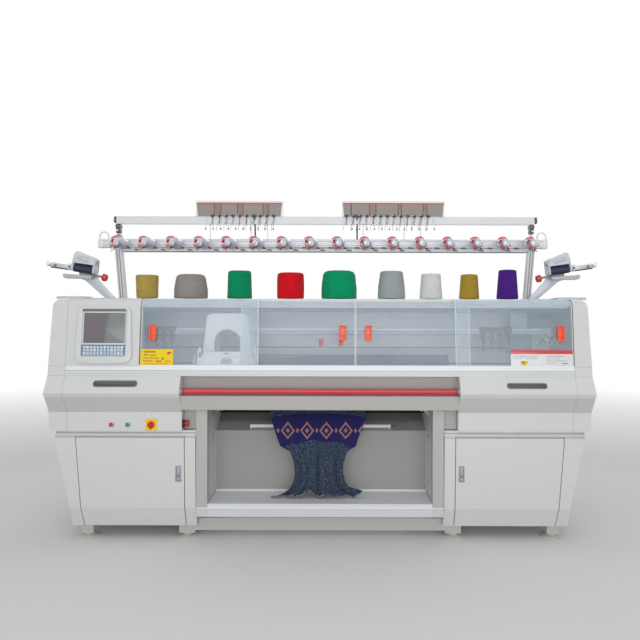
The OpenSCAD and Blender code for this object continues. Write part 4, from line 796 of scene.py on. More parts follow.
def shop():
    """All finishes, made once."""
    if MADE:
        return MADE
    c, s = bpy.context.scene.machine_colours, bpy.context.scene.machine_sizes
    grain = s.grain
    door_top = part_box("left_door")[1].z
    # dark joint lines, as height or distance from the middle and half a width
    joint = ((1.2415, 0.001),)
    seams = ((0.822, 0.0009), (0.644, 0.0009), (0.869, 0.0007))
    MADE.update(
        cover=powder_coat("cover coat", c.cover, grain, fields=cover_fields, across=seams, upright=joint),
        sill=powder_coat("sill coat", c.cover, grain, fields=sill_fields, upright=joint),
        table=powder_coat("table coat", c.cover, grain, fields=table_fields),
        # painted shade: the apron takes the covers' paint darkened, for the shade it lies in under the start
        # bar
        apron=powder_coat("apron coat with painted shade", (0.505, 0.503, 0.484), grain),
        frame=powder_coat("bed frame coat", (0.55, 0.555, 0.58), grain, fields=frame_fields),
        base=powder_coat("base coat", (0.575, 0.575, 0.555), grain),
        # the cabinets' second line, 20 mm over the doors' top, is a painted shadow under the band
        cabinet=powder_coat("cabinet coat", c.cabinet, grain,
                            across=((door_top, 0.0018), (door_top + 0.02, 0.0032))),
        bin=powder_coat("bin coat", c.bin, grain, 0.5, fields=bin_fields),
        carriage=moulded("carriage shell", (0.87, 0.88, 0.88), 0.34, 0.2),
        # painted light: the carriage base is whiter than the shell's plastic, for light it lacks behind the
        # windows
        bright_coat=moulded("carriage base shell with painted light", (0.94, 0.945, 0.95), 0.34, 0.2),
        stand=brushed("anodised rail", c.stand, (1, 30, 30), 0.46, 0.25),
        stand_coat=powder_coat("stand coat", (0.8, 0.81, 0.84), grain),
        tray=guide_tray("guide tray", (0.86, 0.86, 0.87), (0.31, 0.275, 0.248), (0.56, 0.07, 0.075)),
        steel=brushed("machined steel", c.steel, (20, 20, 20)),
        bright=brushed("bright wire", (0.74, 0.75, 0.77), (6, 6, 6), 0.22),
        needle=brushed("needle steel", (0.055, 0.08, 0.105), (6, 6, 6), 0.45, 0.15),
        inside=powder_coat("inside coat", (0.34, 0.39, 0.47), grain, 0.55, fields=bracket_fields),
        back=powder_coat("back coat", (0.66, 0.67, 0.72), grain, 0.6),
        rail=rail_steel("ground rail", (0.34, 0.43, 0.53)),
        beds=bed_steel("needle bed steel", c.beds),
        carrier=brushed("carrier steel", c.carrier, (4, 4, 30), 0.45, 0.15),
        bar=moulded("bar paint", c.bar, 0.2, 0.6),
        red=moulded("red plastic", c.red, 0.25, 0.4),
        dark_red=moulded("dark red tip", (0.2, 0.01, 0.015), 0.3, 0.3),
        cap_red=moulded("cap red", (0.74, 0.05, 0.055), 0.3, 0.3),
        pink=moulded("pale red trim", (0.78, 0.2, 0.25), 0.3, 0.3),
        plum=moulded("plum trim", (0.46, 0.06, 0.2), 0.3, 0.3),
        green=moulded("green plastic", c.green, 0.25, 0.4),
        orange=moulded("orange plastic", c.orange, 0.3, 0.3),
        yellow=moulded("yellow plate", c.yellow, 0.65, 0.0),
        gold_field=moulded("brown-gold fields", (0.42, 0.25, 0.02), 0.4, 0.1),
        tab=window_sheet("red tab", (0.66, 0.16, 0.22), 0.66, -9.0, 9.0),
        lock=brushed("lock plate", (0.36, 0.38, 0.41), (20, 20, 20), 0.42, 0.35),
        chrome=brushed("bright ring", (0.72, 0.72, 0.72), (20, 20, 20), 0.15),
        switches=switch_metal("switch rings", (0.72, 0.72, 0.72)),
        keypad=moulded("keypad membrane", c.keypad, 0.45, 0.1),
        key=moulded("key faces", (0.62, 0.7, 0.8), 0.45, 0.1),
        screen=screen_glass("screen glass", c.screen),
        recess=moulded("painted recess shadow", (0.165, 0.165, 0.15), 0.5, 0.05),
        bezel=moulded("bezel plastic", (0.72, 0.745, 0.745), 0.38, 0.15),
        lamp=glow("lamp tube", (0.62, 0.65, 0.72), 0.16),
        dark=moulded("dark plastic", (0.025, 0.028, 0.035), 0.35, 0.2),
        slot=moulded("slate plastic", (0.12, 0.135, 0.16), 0.45, 0.1),
        grey=moulded("grey plastic", (0.3, 0.32, 0.34), 0.4, 0.1),
        roller=rubber("navy roller", (0.022, 0.028, 0.06)),
        unit=moulded("unit housing", c.unit, 0.28, 0.35),
        unit_low=moulded("unit underside", (0.36, 0.41, 0.48), 0.35, 0.2),
        hood=moulded("feeder hood", (0.66, 0.69, 0.74), 0.3, 0.3),
        arm=brushed("feeder arm", (0.52, 0.55, 0.6), (1, 40, 40), 0.3, 0.4),
        tray_grey=moulded("feeder tray", (0.56, 0.53, 0.55), 0.4, 0.15),
        rubber=rubber("black rubber", (0.018, 0.018, 0.02)),
        motor=powder_coat("motor coat", (0.03, 0.03, 0.033), grain, 0.45),
        ceramic=moulded("ceramic eye", (0.8, 0.78, 0.74), 0.15, 0.6),
        white=moulded("white plate", (0.84, 0.85, 0.86), 0.4, 0.1),
        card=rubber("cone core", (0.32, 0.27, 0.2)),
        badge=moulded("badge rim", (0.16, 0.17, 0.18), 0.22, 0.5),
        badge_field=moulded("bare badge", (0.03, 0.033, 0.04), 0.2, 0.5),
    )
    for i in range(1, 5):
        low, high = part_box(f"window_{i}")
        MADE[f"sheet_{i}"] = window_sheet(f"window sheet {i}", c.window, s.window_clear, low.x, high.x)
    return MADE


# Operators

class MACHINE_OT_stage(bpy.types.Operator):
    """Camera, lights, floor and world"""
    bl_idname = "machine.stage"
    bl_label = "Stage"

    def execute(self, context):
        scene = context.scene
        lens = bpy.data.cameras.new("camera")
        lens.lens, lens.sensor_width = 33.75, 36
        picture = 640
        lens.shift_x, lens.shift_y = -15 / picture, -13 / picture
        lens.clip_end = 60
        eye = bpy.data.objects.new("camera", lens)
        eye.location = (0.072, FRONT - 2.88, 1.16)
        eye.rotation_euler = (math.radians(90), math.radians(-0.145), 0)
        scene.collection.objects.link(eye)
        scene.camera = eye
        for name, place, aim, power, w, h in (
                ("key", (-1.3, -3.0, 4.0), (0, 0, 0.9), 22, 4.0, 2.2),
                ("fill", (1.9, -3.0, 3.4), (0, 0, 0.8), 14, 3.0, 2.2),
                ("front", (0.1, -5.4, 1.5), (0, 0, 0.9), 80, 4.4, 2.2),
                ("top", (0.0, 0.5, 4.4), (0, 0.1, 0.8), 24, 4.5, 2.2),
                ("behind", (0.5, 4.2, 3.2), (0, 0, 1.0), 34, 4.0, 2.4)):
            light = bpy.data.lights.new(name, "AREA")
            light.shape, light.size, light.size_y, light.energy = "RECTANGLE", w, h, power
            lamp = bpy.data.objects.new(name, light)
            lamp.location = place
            lamp.rotation_euler = (Vector(aim) - Vector(place)).to_track_quat("-Z", "Y").to_euler()
            scene.collection.objects.link(lamp)
        # white where it is seen, dimmer where it only lights
        world = bpy.data.worlds.new("studio")
        scene.world = world
        world.use_nodes = True
        net = Net(world.node_tree, "ShaderNodeOutputWorld")
        level = net.node("ShaderNodeMapRange", None, {"Value": net.direct(), "To Min": 0.38, "To Max": 1.0})
        net.show(net.node("ShaderNodeBackground", None, {"Color": (1, 1, 1, 1), "Strength": level}))
        ground = bpy.data.meshes.new("floor")
        ground.from_pydata([(-30, -30, 0), (30, -30, 0), (30, 30, 0), (-30, 30, 0)], [], [(0, 1, 2, 3)])
        floor = bpy.data.objects.new("floor", ground)
        scene.collection.objects.link(floor)
        # the floor is pale paint near the machine and melts into the white beyond
        f = Finish("studio floor")
        grit = f.noise(9, 4)
        f.done(f.mix(grit * 0.4, (0.82, 0.82, 0.82), (0.79, 0.79, 0.79)), 0.75)
        paint = Sock(f, f.end.inputs[0].links[0].from_socket)
        x, y, _ = f.xyz()
        far = ((x * x * 0.55 + y * y).fn("SQRT") * 0.26 - 0.55).cut()
        white = f.node("ShaderNodeEmission", None, {"Strength": 1.0})
        f.show(f.node("ShaderNodeMixShader", None, {0: far * f.direct(), 1: paint, 2: white}))
        ground.materials.append(f.mat)
        scene.view_settings.view_transform = "Standard"
        return {"FINISHED"}


class MACHINE_OT_covers(bpy.types.Operator):
    """Finishes of the covers, cabinets, bin and base, with their small parts"""
    bl_idname = "machine.covers"
    bl_label = "Covers and cabinets"

    def execute(self, context):
        finish_node("cover", "left_end_cover", "right_end_cover", "left_belly_cover", "right_belly_cover",
                    "console_housing")
        finish_node("apron", "front_apron")
        finish_node("frame", "bed_frame")
        finish_node("sill", "window_sill")
        finish_node("table", "yarn_table")
        finish_node("back", "rear_cover")
        finish_node("cabinet", "left_cabinet", "right_cabinet", "left_door", "right_door")
        finish_node("base", "base_frame", "levelling_feet")
        finish_node("bin", "fabric_bin")
        finish_node("lock", "left_door_lock", "right_door_lock")
        finish_node("steel", "drive_pulley", "idler_pulley")
        finish_node("rubber", "drive_belt", "takedown_roller")
        finish_node("motor", "drive_motor")
        # a dark strip over the slit above the bin's sloping plate: painted shade that closes the white seen
        # through the slit
        slit_shade = Piece("bin_slit_shade")
        slit_shade.put(slab(1.1, 0.004, 0.02, 0.001), "motor", 0, 0.0115, 0.583)
        slit_shade.make("machine")
        for side, body in ((-1, "left_door"), (1, "right_door")):
            # paddle, slot and keyhole of the flush lock; the dark border round the plate and the dark slot
            # round the paddle are painted shade in their gaps
            lock = Piece(body + "_latch", at(side * 0.696, FRONT + 0.0687, 0.34, 90 - 2.1))
            lock.put(panel(0.0272, 0.0772, 0.002, 0.0012, 0.0004), "slot")
            lock.put(panel(0.024, 0.074, 0.002, 0.0018, 0.0005), "lock")
            lock.put(panel(0.018, 0.05, 0.002, 0.0008, 0.0002), "slot", 0, 0.009, 0.0014)
            lock.put(panel(0.0135, 0.044, 0.003, 0.0022, 0.0007), "lock", 0, 0.01, 0.0016)
            lock.put(rod(0.0066, 0.0022, 20, 0.001), "slot", 0, -0.027, 0.0014)
            lock.put(rod(0.0052, 0.003, 20, 0.001), "chrome", 0, -0.027, 0.0014)
            lock.put(prism([(-0.0008, -0.003), (0.0008, -0.003), (0.0008, 0.003), (-0.0008, 0.003)], 0.0004),
                     "dark", 0, -0.027, 0.0043)
            lock.make(body)
        screws = Piece("cabinet_screws")
        for side in (-1, 1):
            for z in (0.2, 0.4, 0.6):
                screws.put(rod(0.0035, 0.0025, 16, 0.001), "chrome", side * 0.583, FRONT + 0.0698, z, 90)
            for z in (0.27, 0.5):
                screws.put(rod(0.0042, 0.0025, 16, 0.001), "dark",
                           side * 0.5548, FRONT + 0.2, z, 0, -90 * side)
        screws.make("machine")
        badge = Piece("bare_badges")
        tilt = math.degrees(math.atan2(0.04, 0.08))
        for x, w, z, h in ((-0.99, 0.215, 0.786, 0.034), (1.001, 0.196, 0.78, 0.03)):
            y = FRONT + 0.04 * (z - 0.742) / 0.08
            badge.put(panel(w, h, h * 0.42, 0.0022, 0.0008), "badge", x, y, z, 90 - tilt)
            badge.put(panel(w - 0.01, h - 0.01, h * 0.3, 0.0028, 0.0004), "badge_field", x, y, z, 90 - tilt)
        badge.make("machine")
        # the lamp: a slim tube in two end caps on a narrow rail
        low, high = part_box("bin_lamp")
        half = (high.x - low.x) / 2
        lamp = Piece("lamp_tube", at(middle("bin_lamp")[0], FRONT + 0.282, 0.509, 26.3) @ at(0, 0.022, 0))
        lamp.put(slab(2 * half, 0.014, 0.006, 0.001), "grey")
        lamp.put(rod(0.0092, 2 * half - 0.02, 24), "lamp", -half + 0.01, -0.001, 0.0142, 0, 90)
        for side in (-1, 1):
            lamp.put(rod(0.01, 0.012, 24, 0.002), "white", side * (half - 0.006) - 0.006, -0.001, 0.0142, 0, 90)
            lamp.put(slab(0.012, 0.016, 0.014, 0.002), "white", side * (half - 0.006), 0, 0)
        # its thin lead, which runs to the side wall
        lead = [(high.x - 0.002, FRONT + 0.296, 0.534), (0.386, FRONT + 0.298, 0.528),
                (0.402, FRONT + 0.3, 0.543), (0.424, FRONT + 0.302, 0.551),
                (0.44, FRONT + 0.304, 0.549), (0.47, FRONT + 0.306, 0.556)]
        lamp.put(tube(bend(lead, 5), 0.0017, 6), "slot", on=Matrix())
        lamp.make("machine", ["bin_lamp"])
        return {"FINISHED"}


class MACHINE_OT_console(bpy.types.Operator):
    """Console bezel, screen and keypad"""
    bl_idname = "machine.console"
    bl_label = "Console"

    def execute(self, context):
        finish_node("screen", "console_screen")
        finish_node("key", "console_keypad")
        low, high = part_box("console_bezel")
        w, h, r, foot = high.x - low.x, 0.276, 0.034, 0.884
        base = at(middle("console_bezel")[0], sheet_y(foot) - 0.0002, foot, 90 - SHEET_LEAN)
        piece = Piece("bezel", base)
        outer = arc(w / 2 - r - 0.008, h - r, r, 0, 90, 8) + arc(-w / 2 + r + 0.008, h - r, r, 90, 180, 8) \
            + arc(-w / 2 + r, r, r, 180, 255, 6) + [(-0.05, -0.003), (0, -0.0042), (0.05, -0.003)] \
            + arc(w / 2 - r, r, r, 285, 360, 6)
        piece.put(prism(outer, 0.0075, 0.002), "bezel")
        # raised frame with a broad shoulder round one opening
        half, in_low, in_top = 0.1072, 0.0315, 0.264
        hole = [(x, y + (in_low + in_top) / 2) for x, y in plate_outline(half * 2, in_top - in_low, 0.006, 4)]
        piece.put(framed(outer, hole, 0.0075, 0.0083, 0.0048, 4), "bezel")
        piece.put(prism(taper(half, half, 0.009), 0.0065, 0.0015), "bezel", 0, 0.0885, 0.0065)
        # painted shadow: a dark strip under the opening's top wall
        piece.put(prism([(-half, 0), (half, 0), (half - 0.006, 0.0125), (-half, 0.0125)], 0.0052, 0.0005),
                  "recess", 0, in_top - 0.013, 0.0072)
        piece.put(prism([(-half, 0), (-0.1, 0), (-0.1, 0.154), (-half, 0.165)], 0.0042, 0.0005), "tray_grey",
                  0, 0.0975, 0.0072)
        piece.make("machine", ["console_bezel"])
        groove = Piece("screen_frame", base)
        groove.put(panel(0.2105, 0.167, 0.003, 0.0009, 0.0003), "bezel", 0, 0.1805, 0.0112)
        groove.put(panel(0.201, 0.148, 0.002, 0.0004, 0.0002), "slot", 0.002, 0.1708, 0.0121)
        groove.put(panel(0.1975, 0.1445, 0.002, 0.0007, 0.0002), "screen", 0.002, 0.1708, 0.0121)
        groove.make("machine")
        membrane = Piece("key_field", base)
        membrane.put(panel(0.2085, 0.05, 0.002, 0.0008, 0.0002), "keypad", 0, 0.063, 0.0112)
        for i in range(12):
            for j in range(3):
                membrane.put(panel(0.0122, 0.0102, 0.002, 0.003, 0.0007, 1, corner=3),
                             "key" if (i + 2 * j) % 5 else "white",
                             -0.093 + 0.0169 * i, 0.0478 + 0.0153 * j, 0.0115)
        membrane.make("machine")
        return {"FINISHED"}


class MACHINE_OT_windows(bpy.types.Operator):
    """Window sheets, handles and the bare plates on them"""
    bl_idname = "machine.windows"
    bl_label = "Windows"

    def execute(self, context):
        for i in range(1, 5):
            finish_node(f"sheet_{i}", f"window_{i}")
            low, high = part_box(f"handle_{i}")
            w, h = high.x - low.x, (high.z - low.z) / math.cos(math.radians(SHEET_LEAN))
            depth = 0.016 if i in (1, 4) else 0.024
            cup = Piece(f"grip_{i}", at((low.x + high.x) / 2, high.y - 0.0088, low.z + 0.001, 90 - SHEET_LEAN))
            outer = [(x, y + h / 2) for x, y in plate_outline(w, h - 0.002, 0.006)]
            hole = [(x, y + h / 2 + 0.0015) for x, y in plate_outline(w - 0.01, h - 0.013, 0.003)]
            cup.put(framed(outer, hole, 0, depth, 0.0016, 2), "orange")
            cup.put(panel(w - 0.004, h - 0.006, 0.004, 0.003), "orange", 0, h / 2, 0)
            cup.put(slab(w - 0.008, 0.004, depth * 0.75, 0.001), "orange", 0, h * 0.36, 0)
            cup.make(f"window_{i}", [f"handle_{i}"])

        def on_sheet(x, z):
            """A place just before the outer face of the front window sheets."""
            return at(x, sheet_y(z, 0.006) - 0.0002, z, 90 - SHEET_LEAN)

        plate = Piece("yellow_plate")
        plate.put(panel(0.16, 0.08, 0.003, 0.0008, 0.0002), "yellow", on=on_sheet(-0.7985, 0.912))
        plate.put(rod(0.0075, 0.0012, 20), "red", on=on_sheet(-0.742, 0.931))
        plate.put(panel(0.009, 0.006, 0.0025, 0.0014, 0.0002), "dark", on=on_sheet(-0.733, 0.9355))
        for x, z, wide, tall in ((-0.834, 0.9385, 0.058, 0.008), (-0.852, 0.924, 0.02, 0.007),
                                 (-0.818, 0.922, 0.034, 0.005), (-0.826, 0.908, 0.078, 0.0045),
                                 (-0.77, 0.906, 0.014, 0.01), (-0.842, 0.8945, 0.046, 0.0045),
                                 (-0.79, 0.8925, 0.03, 0.0075), (-0.744, 0.893, 0.026, 0.0045),
                                 (-0.8, 0.8805, 0.118, 0.003)):
            plate.put(panel(wide, tall, 0.0012, 0.0011, corner=2), "gold_field", on=on_sheet(x, z))
        plate.make("window_1")
        plate = Piece("white_plate")
        plate.put(panel(0.304, 0.08, 0.002, 0.0008, 0.0002), "white", on=on_sheet(1.084, 0.911))
        plate.put(panel(0.304, 0.019, 0.001, 0.0012, 0.0002), "cap_red", on=on_sheet(1.084, 0.9415))
        bowl = [(0.019, 0.012)] + arc(0, 0.006, 0.0175, -10, -170, 12) + [(-0.019, 0.012)]
        plate.put(prism(bowl, 0.0012, 0.0002), "yellow", on=on_sheet(0.997, 0.8865))
        plate.put(prism([(x * 0.55, y * 0.6) for x, y in bowl], 0.0015), "gold_field",
                  on=on_sheet(0.9935, 0.8895))
        for x, z, wide, tall in ((0.978, 0.9215, 0.07, 0.0026), (1.042, 0.9205, 0.044, 0.0022),
                                 (0.964, 0.911, 0.044, 0.0022), (1.034, 0.9105, 0.06, 0.0022),
                                 (1.15, 0.92, 0.086, 0.0028), (1.14, 0.909, 0.066, 0.0022),
                                 (1.158, 0.899, 0.102, 0.0022), (1.128, 0.888, 0.042, 0.0022),
                                 (1.196, 0.886, 0.03, 0.005)):
            plate.put(panel(wide, tall, 0.0007, 0.0011, corner=2), "grey", on=on_sheet(x, z))
        plate.make("window_4")
        tabs = Piece("red_tabs")
        tab_z = 0.985
        for x in (0.004, 0.101):
            tabs.put(panel(0.022, 0.034, 0.003, 0.0008, 0.0002), "tab",
                     x, sheet_y(tab_z, 0.014) - 0.0004, tab_z, 90 - SHEET_LEAN)
        tabs.make("window_2")
        return {"FINISHED"}


class MACHINE_OT_controls(bpy.types.Operator):
    """Start bar, push buttons, main switch and emergency stop"""
    bl_idname = "machine.controls"
    bl_label = "Controls"

    def execute(self, context):
        finish_node("bar", "start_bar")
        finish_node("green", "start_button")
        finish_node("red", "stop_button", "emergency_stop", "main_switch_knob")
        finish_node("switches", "switch_bezels")
        band = FRONT + 0.06
        plates = Piece("switch_plates")
        cx, _, cz = middle("main_switch_knob")
        plates.put(panel(0.0572, 0.0572, 0.005, 0.0004), "yellow", cx, band - 0.0029, cz, 90)
        for x, z, wide, bar in ((middle("stop_button")[0], 0.627, 0.034, 0.018),
                                (middle("start_button")[0], 0.627, 0.034, 0.018), (cx, 0.6275, 0.04, 0.022)):
            plates.put(panel(wide, 0.009, 0.002, 0.0007), "white", x, band, z, 90)
            plates.put(panel(bar, 0.0022, 0.001, 0.0009, corner=2), "grey", x, band, z, 90)
        plates.make("machine")
        collars = Piece("bar_tips")
        _, cy, cz = middle("start_bar")
        for side in (-1, 1):
            collars.put(lathe([(0.0151, 0), (0.0157, 0.0005), (0.0157, 0.0055), (0.0151, 0.006)], 32),
                        "dark_red", side * 0.661 - 0.003, cy, cz, 0, 90)
        collars.make("start_bar")
        return {"FINISHED"}


class MACHINE_OT_carriage(bpy.types.Operator):
    """Carriage bridge and base"""
    bl_idname = "machine.carriage"
    bl_label = "Carriage"

    def execute(self, context):
        low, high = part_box("carriage_bridge")
        cx = middle("carriage_bridge")[0]
        y0, y1, z0, z1 = low.y, high.y, low.z, high.z
        foot, top, r = 0.127, 0.103, 0.034
        arch = Piece("bridge_shell")
        inset = top - r + 0.004
        shape = [(foot, z0)] + arc(inset, z1 - r, r, 8, 82, 8) + arc(-inset, z1 - r, r, 98, 172, 8) \
            + [(-foot, z0), (-0.064, z0)] + arc(0, 0.98, 0.064, 180, 0, 20) + [(0.064, z0)]
        for near, far in ((y0, y0 + 0.055), (y1 - 0.055, y1)):
            arch.put(prism(shape, far - near, 0.007, 3), "carriage", cx, far, 0, 90)
        lid = [(top - 0.006, z1 - 0.049)] + arc(top - r - 0.001, z1 - r - 0.002, r - 0.001, 5, 85, 8) \
            + arc(-top + r + 0.001, z1 - r - 0.002, r - 0.001, 95, 175, 8) + [(-top + 0.006, z1 - 0.049)]
        arch.put(prism(lid, y1 - y0 - 0.1, 0.0), "carriage", cx, y1 - 0.05, 0, 90)
        arch.make("carriage", ["carriage_bridge"])
        finish_node("bright_coat", "carriage_base")
        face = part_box("carriage_base")[0].y
        trim = Piece("cam_box_trim")
        # upper step between the feet of the arch, with its grey inlay
        step = 0.908
        trim.put(prism(taper(0.128, 0.11, 0.03), 0.012, 0.004, 3), "carriage",
                 cx, face + 0.013, step - 0.001, 90)
        trim.put(prism(taper(0.033, 0.023, 0.028), 0.0022, 0.0008), "tray_grey",
                 cx, face + 0.0008, step - 0.03, 90)
        for k in range(5):
            trim.put(slab(0.05 - 0.003 * k, 0.0006, 0.0016), "grey",
                     cx, face - 0.0016, step - 0.027 + 0.0048 * k)
        badge = [(1.7 * px, 0.7 * pz) for px, pz in arc(0, 0, 0.0095, 0, 180, 14)]
        trim.put(prism(badge, 0.0016, 0.0004), "slot", cx, face + 0.0012, step + 0.0165, 90)
        for side in (-1, 1):
            trim.put(prism(taper(0.012, 0.006, 0.052), 0.02, 0.003, 3), "carriage",
                     cx + side * 0.137, face + 0.034, step - 0.004, 90)
            trim.put(slab(0.04, 0.0012, 0.012, 0.0004), "grey", cx + side * 0.122, face - 0.0003, 0.846)
            trim.put(prism(taper(0.02, 0.015, 0.064), 0.0015, 0.0006), "carriage",
                     cx + side * 0.123, face + 0.0002, 0.836, 90)
        trim.make("carriage")
        return {"FINISHED"}


class MACHINE_OT_beds(bpy.types.Operator):
    """Needle beds with their needles, rails and brackets"""
    bl_idname = "machine.beds"
    bl_label = "Needle beds and rails"

    def execute(self, context):
        finish_node("beds", "needle_beds")
        finish_node("rail", "guide_rails")
        finish_node("inside", "rail_brackets")
        low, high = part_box("needle_beds")
        mid = FRONT + 0.22
        needles = Piece("needles")
        count = int((high.x - low.x - 0.02) / 0.01)
        x0 = -(count - 1) * 0.005
        for i in range(count):
            for side in (-1, 1):
                # a needle shank in its slot, its hook over the mouth
                slot = at(x0 + 0.01 * i, mid + side * 0.0455, high.z - 0.0405, -45 * side)
                needles.put(slab(0.0016, 0.105, 0.0042), "needle", 0, 0, -0.0034, on=slot)
        needles.make("machine")
        ends = Piece("rail_ends")
        # terminal with small blocks and wires on the right bracket
        for k in range(9):
            x = 1.142 + 0.0125 * k
            tall = 0.012 + 0.01 * ((k * 7) % 4) / 3
            mat = ("white", "grey", "dark", "unit")[(k * 5) % 4]
            ends.put(slab(0.0105, 0.02, tall, 0.0015), mat, x, FRONT + 0.288, 0.985 - 0.004 * (k % 3))
            ends.put(slab(0.009, 0.016, 0.008, 0.001), "dark" if k % 2 else "white",
                     x, FRONT + 0.288, 0.974 - 0.003 * (k % 2))
        ends.put(slab(0.12, 0.012, 0.026, 0.002), "unit", 1.192, FRONT + 0.294, 0.96)
        for k in range(4):
            x = 1.15 + 0.026 * k
            wire = [(x, FRONT + 0.286, 1.004), (x + 0.006, FRONT + 0.279, 1.016),
                    (x + 0.016, FRONT + 0.284, 1.008), (x + 0.02, FRONT + 0.288, 0.996)]
            ends.put(tube(bend(wire, 5), 0.0016, 6), "dark" if k % 2 else "white")
        ends.make("machine")
        return {"FINISHED"}


class MACHINE_OT_carriers(bpy.types.Operator):
    """Yarn carriers: saddles, stems, springs and feeder eyes"""
    bl_idname = "machine.carriers"
    bl_label = "Yarn carriers"

    def execute(self, context):
        count, pitch = 4, 0.042
        # flared bar that rides on the rail, and the narrow stem under it
        bar = [(-0.0192, 0), (-0.0205, -0.006), (-0.0205, -0.019), (-0.015, -0.026), (-0.012, -0.05),
               (0.012, -0.05), (0.015, -0.026), (0.0205, -0.019), (0.0205, -0.006), (0.0192, 0)]
        stem = [(-0.012, 0), (0.012, 0), (0.015, -0.005), (0.012, -0.012), (0.0055, -0.025), (0.0045, -0.066),
                (0.003, -0.081), (-0.003, -0.081), (-0.0045, -0.066), (-0.0055, -0.025), (-0.012, -0.012),
                (-0.015, -0.005)]
        for body in ("left_yarn_carriers", "right_yarn_carriers"):
            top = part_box(body)[1].z
            cx, y, _ = middle(body)
            piece = Piece(body.replace("yarn_carriers", "carrier_group"))
            for i in range(count):
                x = cx + (i - (count - 1) / 2) * pitch
                lean = (i - (count - 1) / 2) * -0.004
                for side in (-1, 1):
                    piece.put(prism(bar, 0.0085, 0.0015), "carrier", x, y + side * 0.0108 + 0.00425, top, 90)
                    for mat, dx, down in (("slot", -0.008, 0.018), ("grey", 0.008, 0.036)):
                        piece.put(rod(0.0026, 0.002, 12, 0.0006), mat,
                                  x + dx, y + side * 0.015 + 0.001, top - down, 90)
                piece.put(slab(0.034, 0.03, 0.008, 0.002), "carrier", x, y, top - 0.008)
                piece.put(prism(stem, 0.0075, 0.0012), "carrier", x, y + 0.00375, top - 0.05, 90)
                # spring arms and feeder tubes before the stem
                for dx, mat in ((0.01, "slot"), (-0.009, "grey")):
                    arm = [(x + dx, y - 0.0145, top - 0.052), (x + dx * 1.2, y - 0.015, top - 0.078),
                           (x + dx * 0.5 + lean, y - 0.012, top - 0.104),
                           (x + dx * 0.2, y - 0.007, top - 0.124)]
                    piece.put(tube(bend(arm), 0.0016, 6), mat)
                piece.put(slab(0.008, 0.007, 0.02, 0.0015), "slot", x + 0.004, y - 0.011, top - 0.086, 0, 12)
                piece.put(slab(0.007, 0.006, 0.009, 0.0012), "unit" if i % 2 else "slot",
                          x - 0.006, y - 0.01, top - 0.1)
                piece.put(slab(0.01, 0.008, 0.012, 0.0015), "carrier", x - 0.01, y - 0.0095, top - 0.07, 0, -18)
                piece.put(ring(0.0036, 0.0013, 16, 6), "ceramic", x, y - 0.006, top - 0.121, 70)
                if i == 1:
                    piece.put(slab(0.007, 0.004, 0.012, 0.001), "cap_red", x - 0.003, y - 0.0165, top - 0.048)
            piece.make(body, [body])
        return {"FINISHED"}


